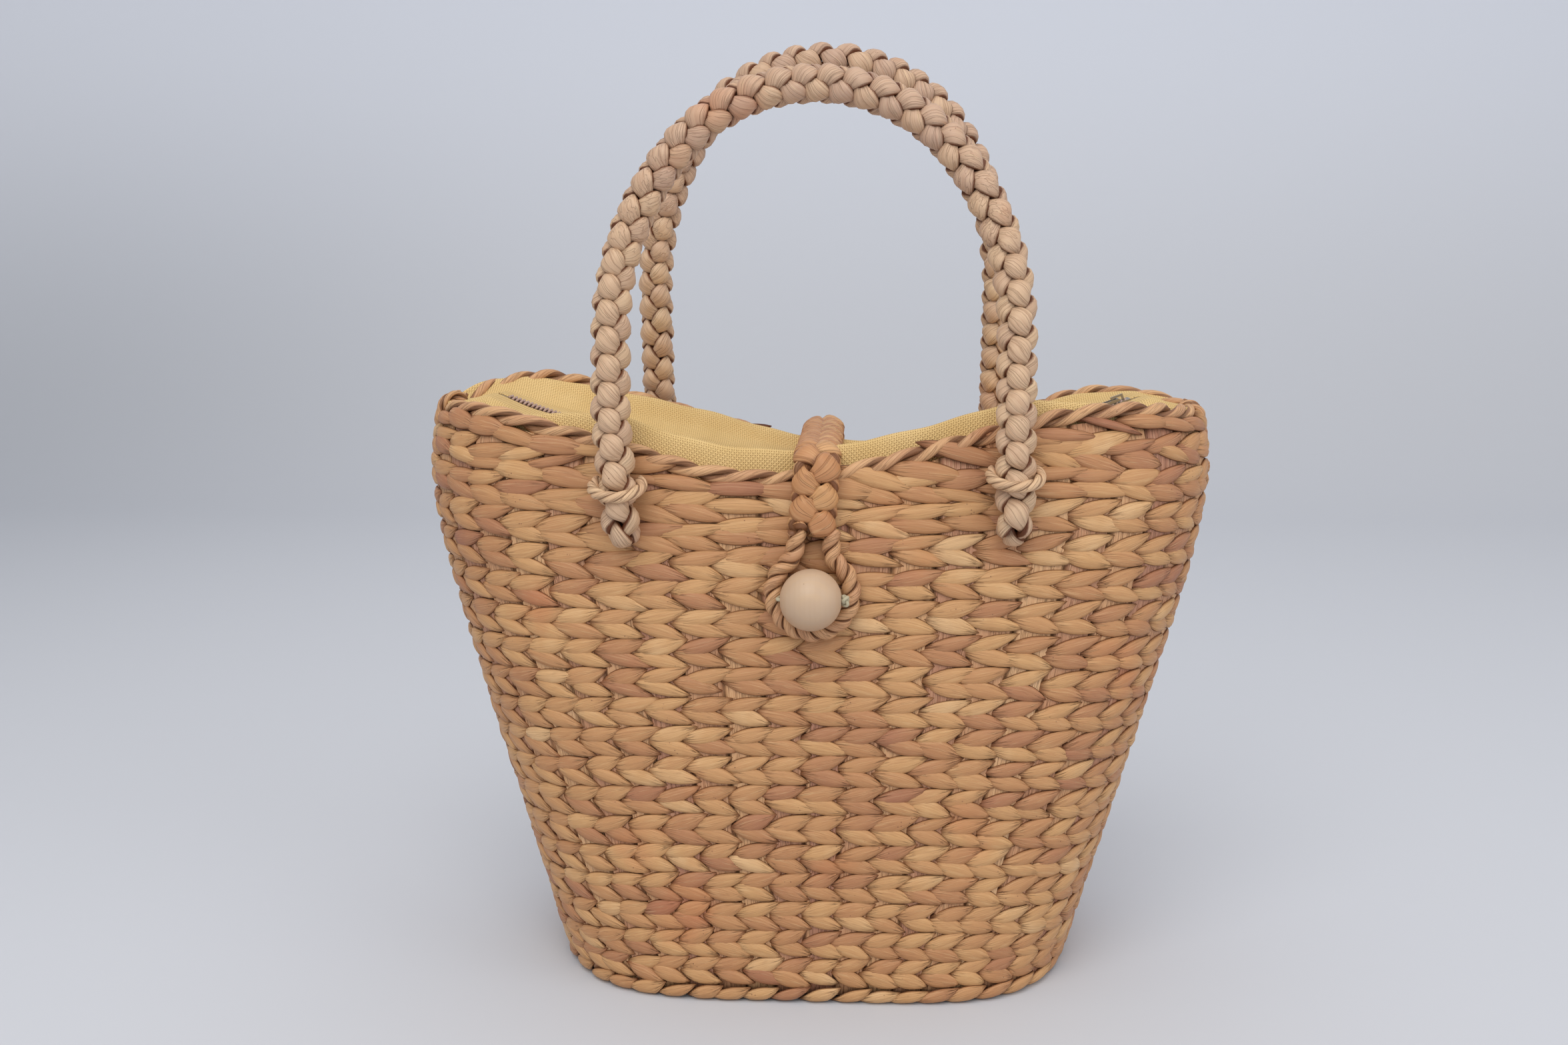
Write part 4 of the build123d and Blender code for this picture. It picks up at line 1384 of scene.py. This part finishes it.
class BASKETBAG_OT_rows(bpy.types.Operator):
    """Make the wall's rows of lobes"""

    bl_idname = "basketbag.rows"
    bl_label = "Twined rows"

    def execute(self, context):
        make_rows()
        return {"FINISHED"}


class BASKETBAG_OT_border(bpy.types.Operator):
    """Make the last row, under the rim's rope"""

    bl_idname = "basketbag.border"
    bl_label = "Border row"

    def execute(self, context):
        make_border()
        return {"FINISHED"}


class BASKETBAG_OT_base(bpy.types.Operator):
    """Make the rows of the base's underside"""

    bl_idname = "basketbag.base"
    bl_label = "Base rows"

    def execute(self, context):
        make_base_rows()
        return {"FINISHED"}


class BASKETBAG_OT_rim(bpy.types.Operator):
    """Make the rope along the rim and its two ears"""

    bl_idname = "basketbag.rim"
    bl_label = "Rim rope"

    def execute(self, context):
        make_rim()
        return {"FINISHED"}


class BASKETBAG_OT_handles(bpy.types.Operator):
    """Make the two plaited handles"""

    bl_idname = "basketbag.handles"
    bl_label = "Handles"

    def execute(self, context):
        for name in HANDLES:
            make_handle(name)
        return {"FINISHED"}


class BASKETBAG_OT_lashings(bpy.types.Operator):
    """Make the four lashings of the handles"""

    bl_idname = "basketbag.lashings"
    bl_label = "Lashings"

    def execute(self, context):
        make_ties()
        return {"FINISHED"}


class BASKETBAG_OT_strap(bpy.types.Operator):
    """Make the braid over the mouth"""

    bl_idname = "basketbag.strap"
    bl_label = "Closure strap"

    def execute(self, context):
        make_strap()
        return {"FINISHED"}


class BASKETBAG_OT_loop(bpy.types.Operator):
    """Make the rope ring round the bead"""

    bl_idname = "basketbag.loop"
    bl_label = "Closure loop"

    def execute(self, context):
        make_loop()
        return {"FINISHED"}


class BASKETBAG_OT_panels(bpy.types.Operator):
    """Make the two panels beside the zip"""

    bl_idname = "basketbag.panels"
    bl_label = "Cloth panels"

    def execute(self, context):
        make_panels()
        return {"FINISHED"}


class BASKETBAG_OT_lining(bpy.types.Operator):
    """Make the cloth bag inside the wall"""

    bl_idname = "basketbag.lining"
    bl_label = "Lining"

    def execute(self, context):
        make_lining()
        return {"FINISHED"}


class BASKETBAG_OT_coils(bpy.types.Operator):
    """Make the zip's two coils"""

    bl_idname = "basketbag.coils"
    bl_label = "Zip coils"

    def execute(self, context):
        make_zip_coils()
        return {"FINISHED"}


class BASKETBAG_OT_knot(bpy.types.Operator):
    """Make the knot of the bead's cord"""

    bl_idname = "basketbag.knot"
    bl_label = "Bead knot"

    def execute(self, context):
        make_knot()
        return {"FINISHED"}


class BASKETBAG_OT_finishes(bpy.types.Operator):
    """Give the zip, the bead and its cord their finishes"""

    bl_idname = "basketbag.finishes"
    bl_label = "Finishes"

    def execute(self, context):
        finish_nodes()
        return {"FINISHED"}


class BASKETBAG_PT_build(bpy.types.Panel):
    """Settings of the bag and the steps that build it"""

    bl_idname = "BASKETBAG_PT_build"
    bl_label = "Twined basket box bag"
    bl_space_type = "VIEW_3D"
    bl_region_type = "UI"
    bl_category = "Basket bag"

    def draw(self, context):
        for group in BasketBag.__annotations__:
            settings = getattr(context.scene.basket_bag, group)
            box = self.layout.box()
            box.label(text=group.capitalize())
            for key in type(settings).__annotations__:
                box.prop(settings, key)
        for step in STEPS:
            self.layout.operator(step.bl_idname)


STEPS = (
    BASKETBAG_OT_stage,
    BASKETBAG_OT_wall,
    BASKETBAG_OT_rows,
    BASKETBAG_OT_border,
    BASKETBAG_OT_base,
    BASKETBAG_OT_rim,
    BASKETBAG_OT_handles,
    BASKETBAG_OT_lashings,
    BASKETBAG_OT_strap,
    BASKETBAG_OT_loop,
    BASKETBAG_OT_panels,
    BASKETBAG_OT_lining,
    BASKETBAG_OT_coils,
    BASKETBAG_OT_knot,
    BASKETBAG_OT_finishes,
)
GROUPS = (WeaveSizes, RopeSizes, PlaitSizes, ClothSizes, StrawColours, TrimColours, StageSettings, BasketBag)
CLASSES = (*GROUPS, *STEPS, BASKETBAG_PT_build)


def register():
    """Registers the classes and puts the bag's settings on the scene."""
    for kind in CLASSES:
        bpy.utils.register_class(kind)
    bpy.types.Scene.basket_bag = PointerProperty(type=BasketBag)


def unregister():
    """Takes the settings and the classes away again."""
    del bpy.types.Scene.basket_bag
    for kind in reversed(CLASSES):
        bpy.utils.unregister_class(kind)


def main():
    """Registers the add-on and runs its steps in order."""
    register()
    for step in STEPS:
        group, verb = step.bl_idname.split(".")
        getattr(getattr(bpy.ops, group), verb)()


if __name__ == "__main__":
    main()
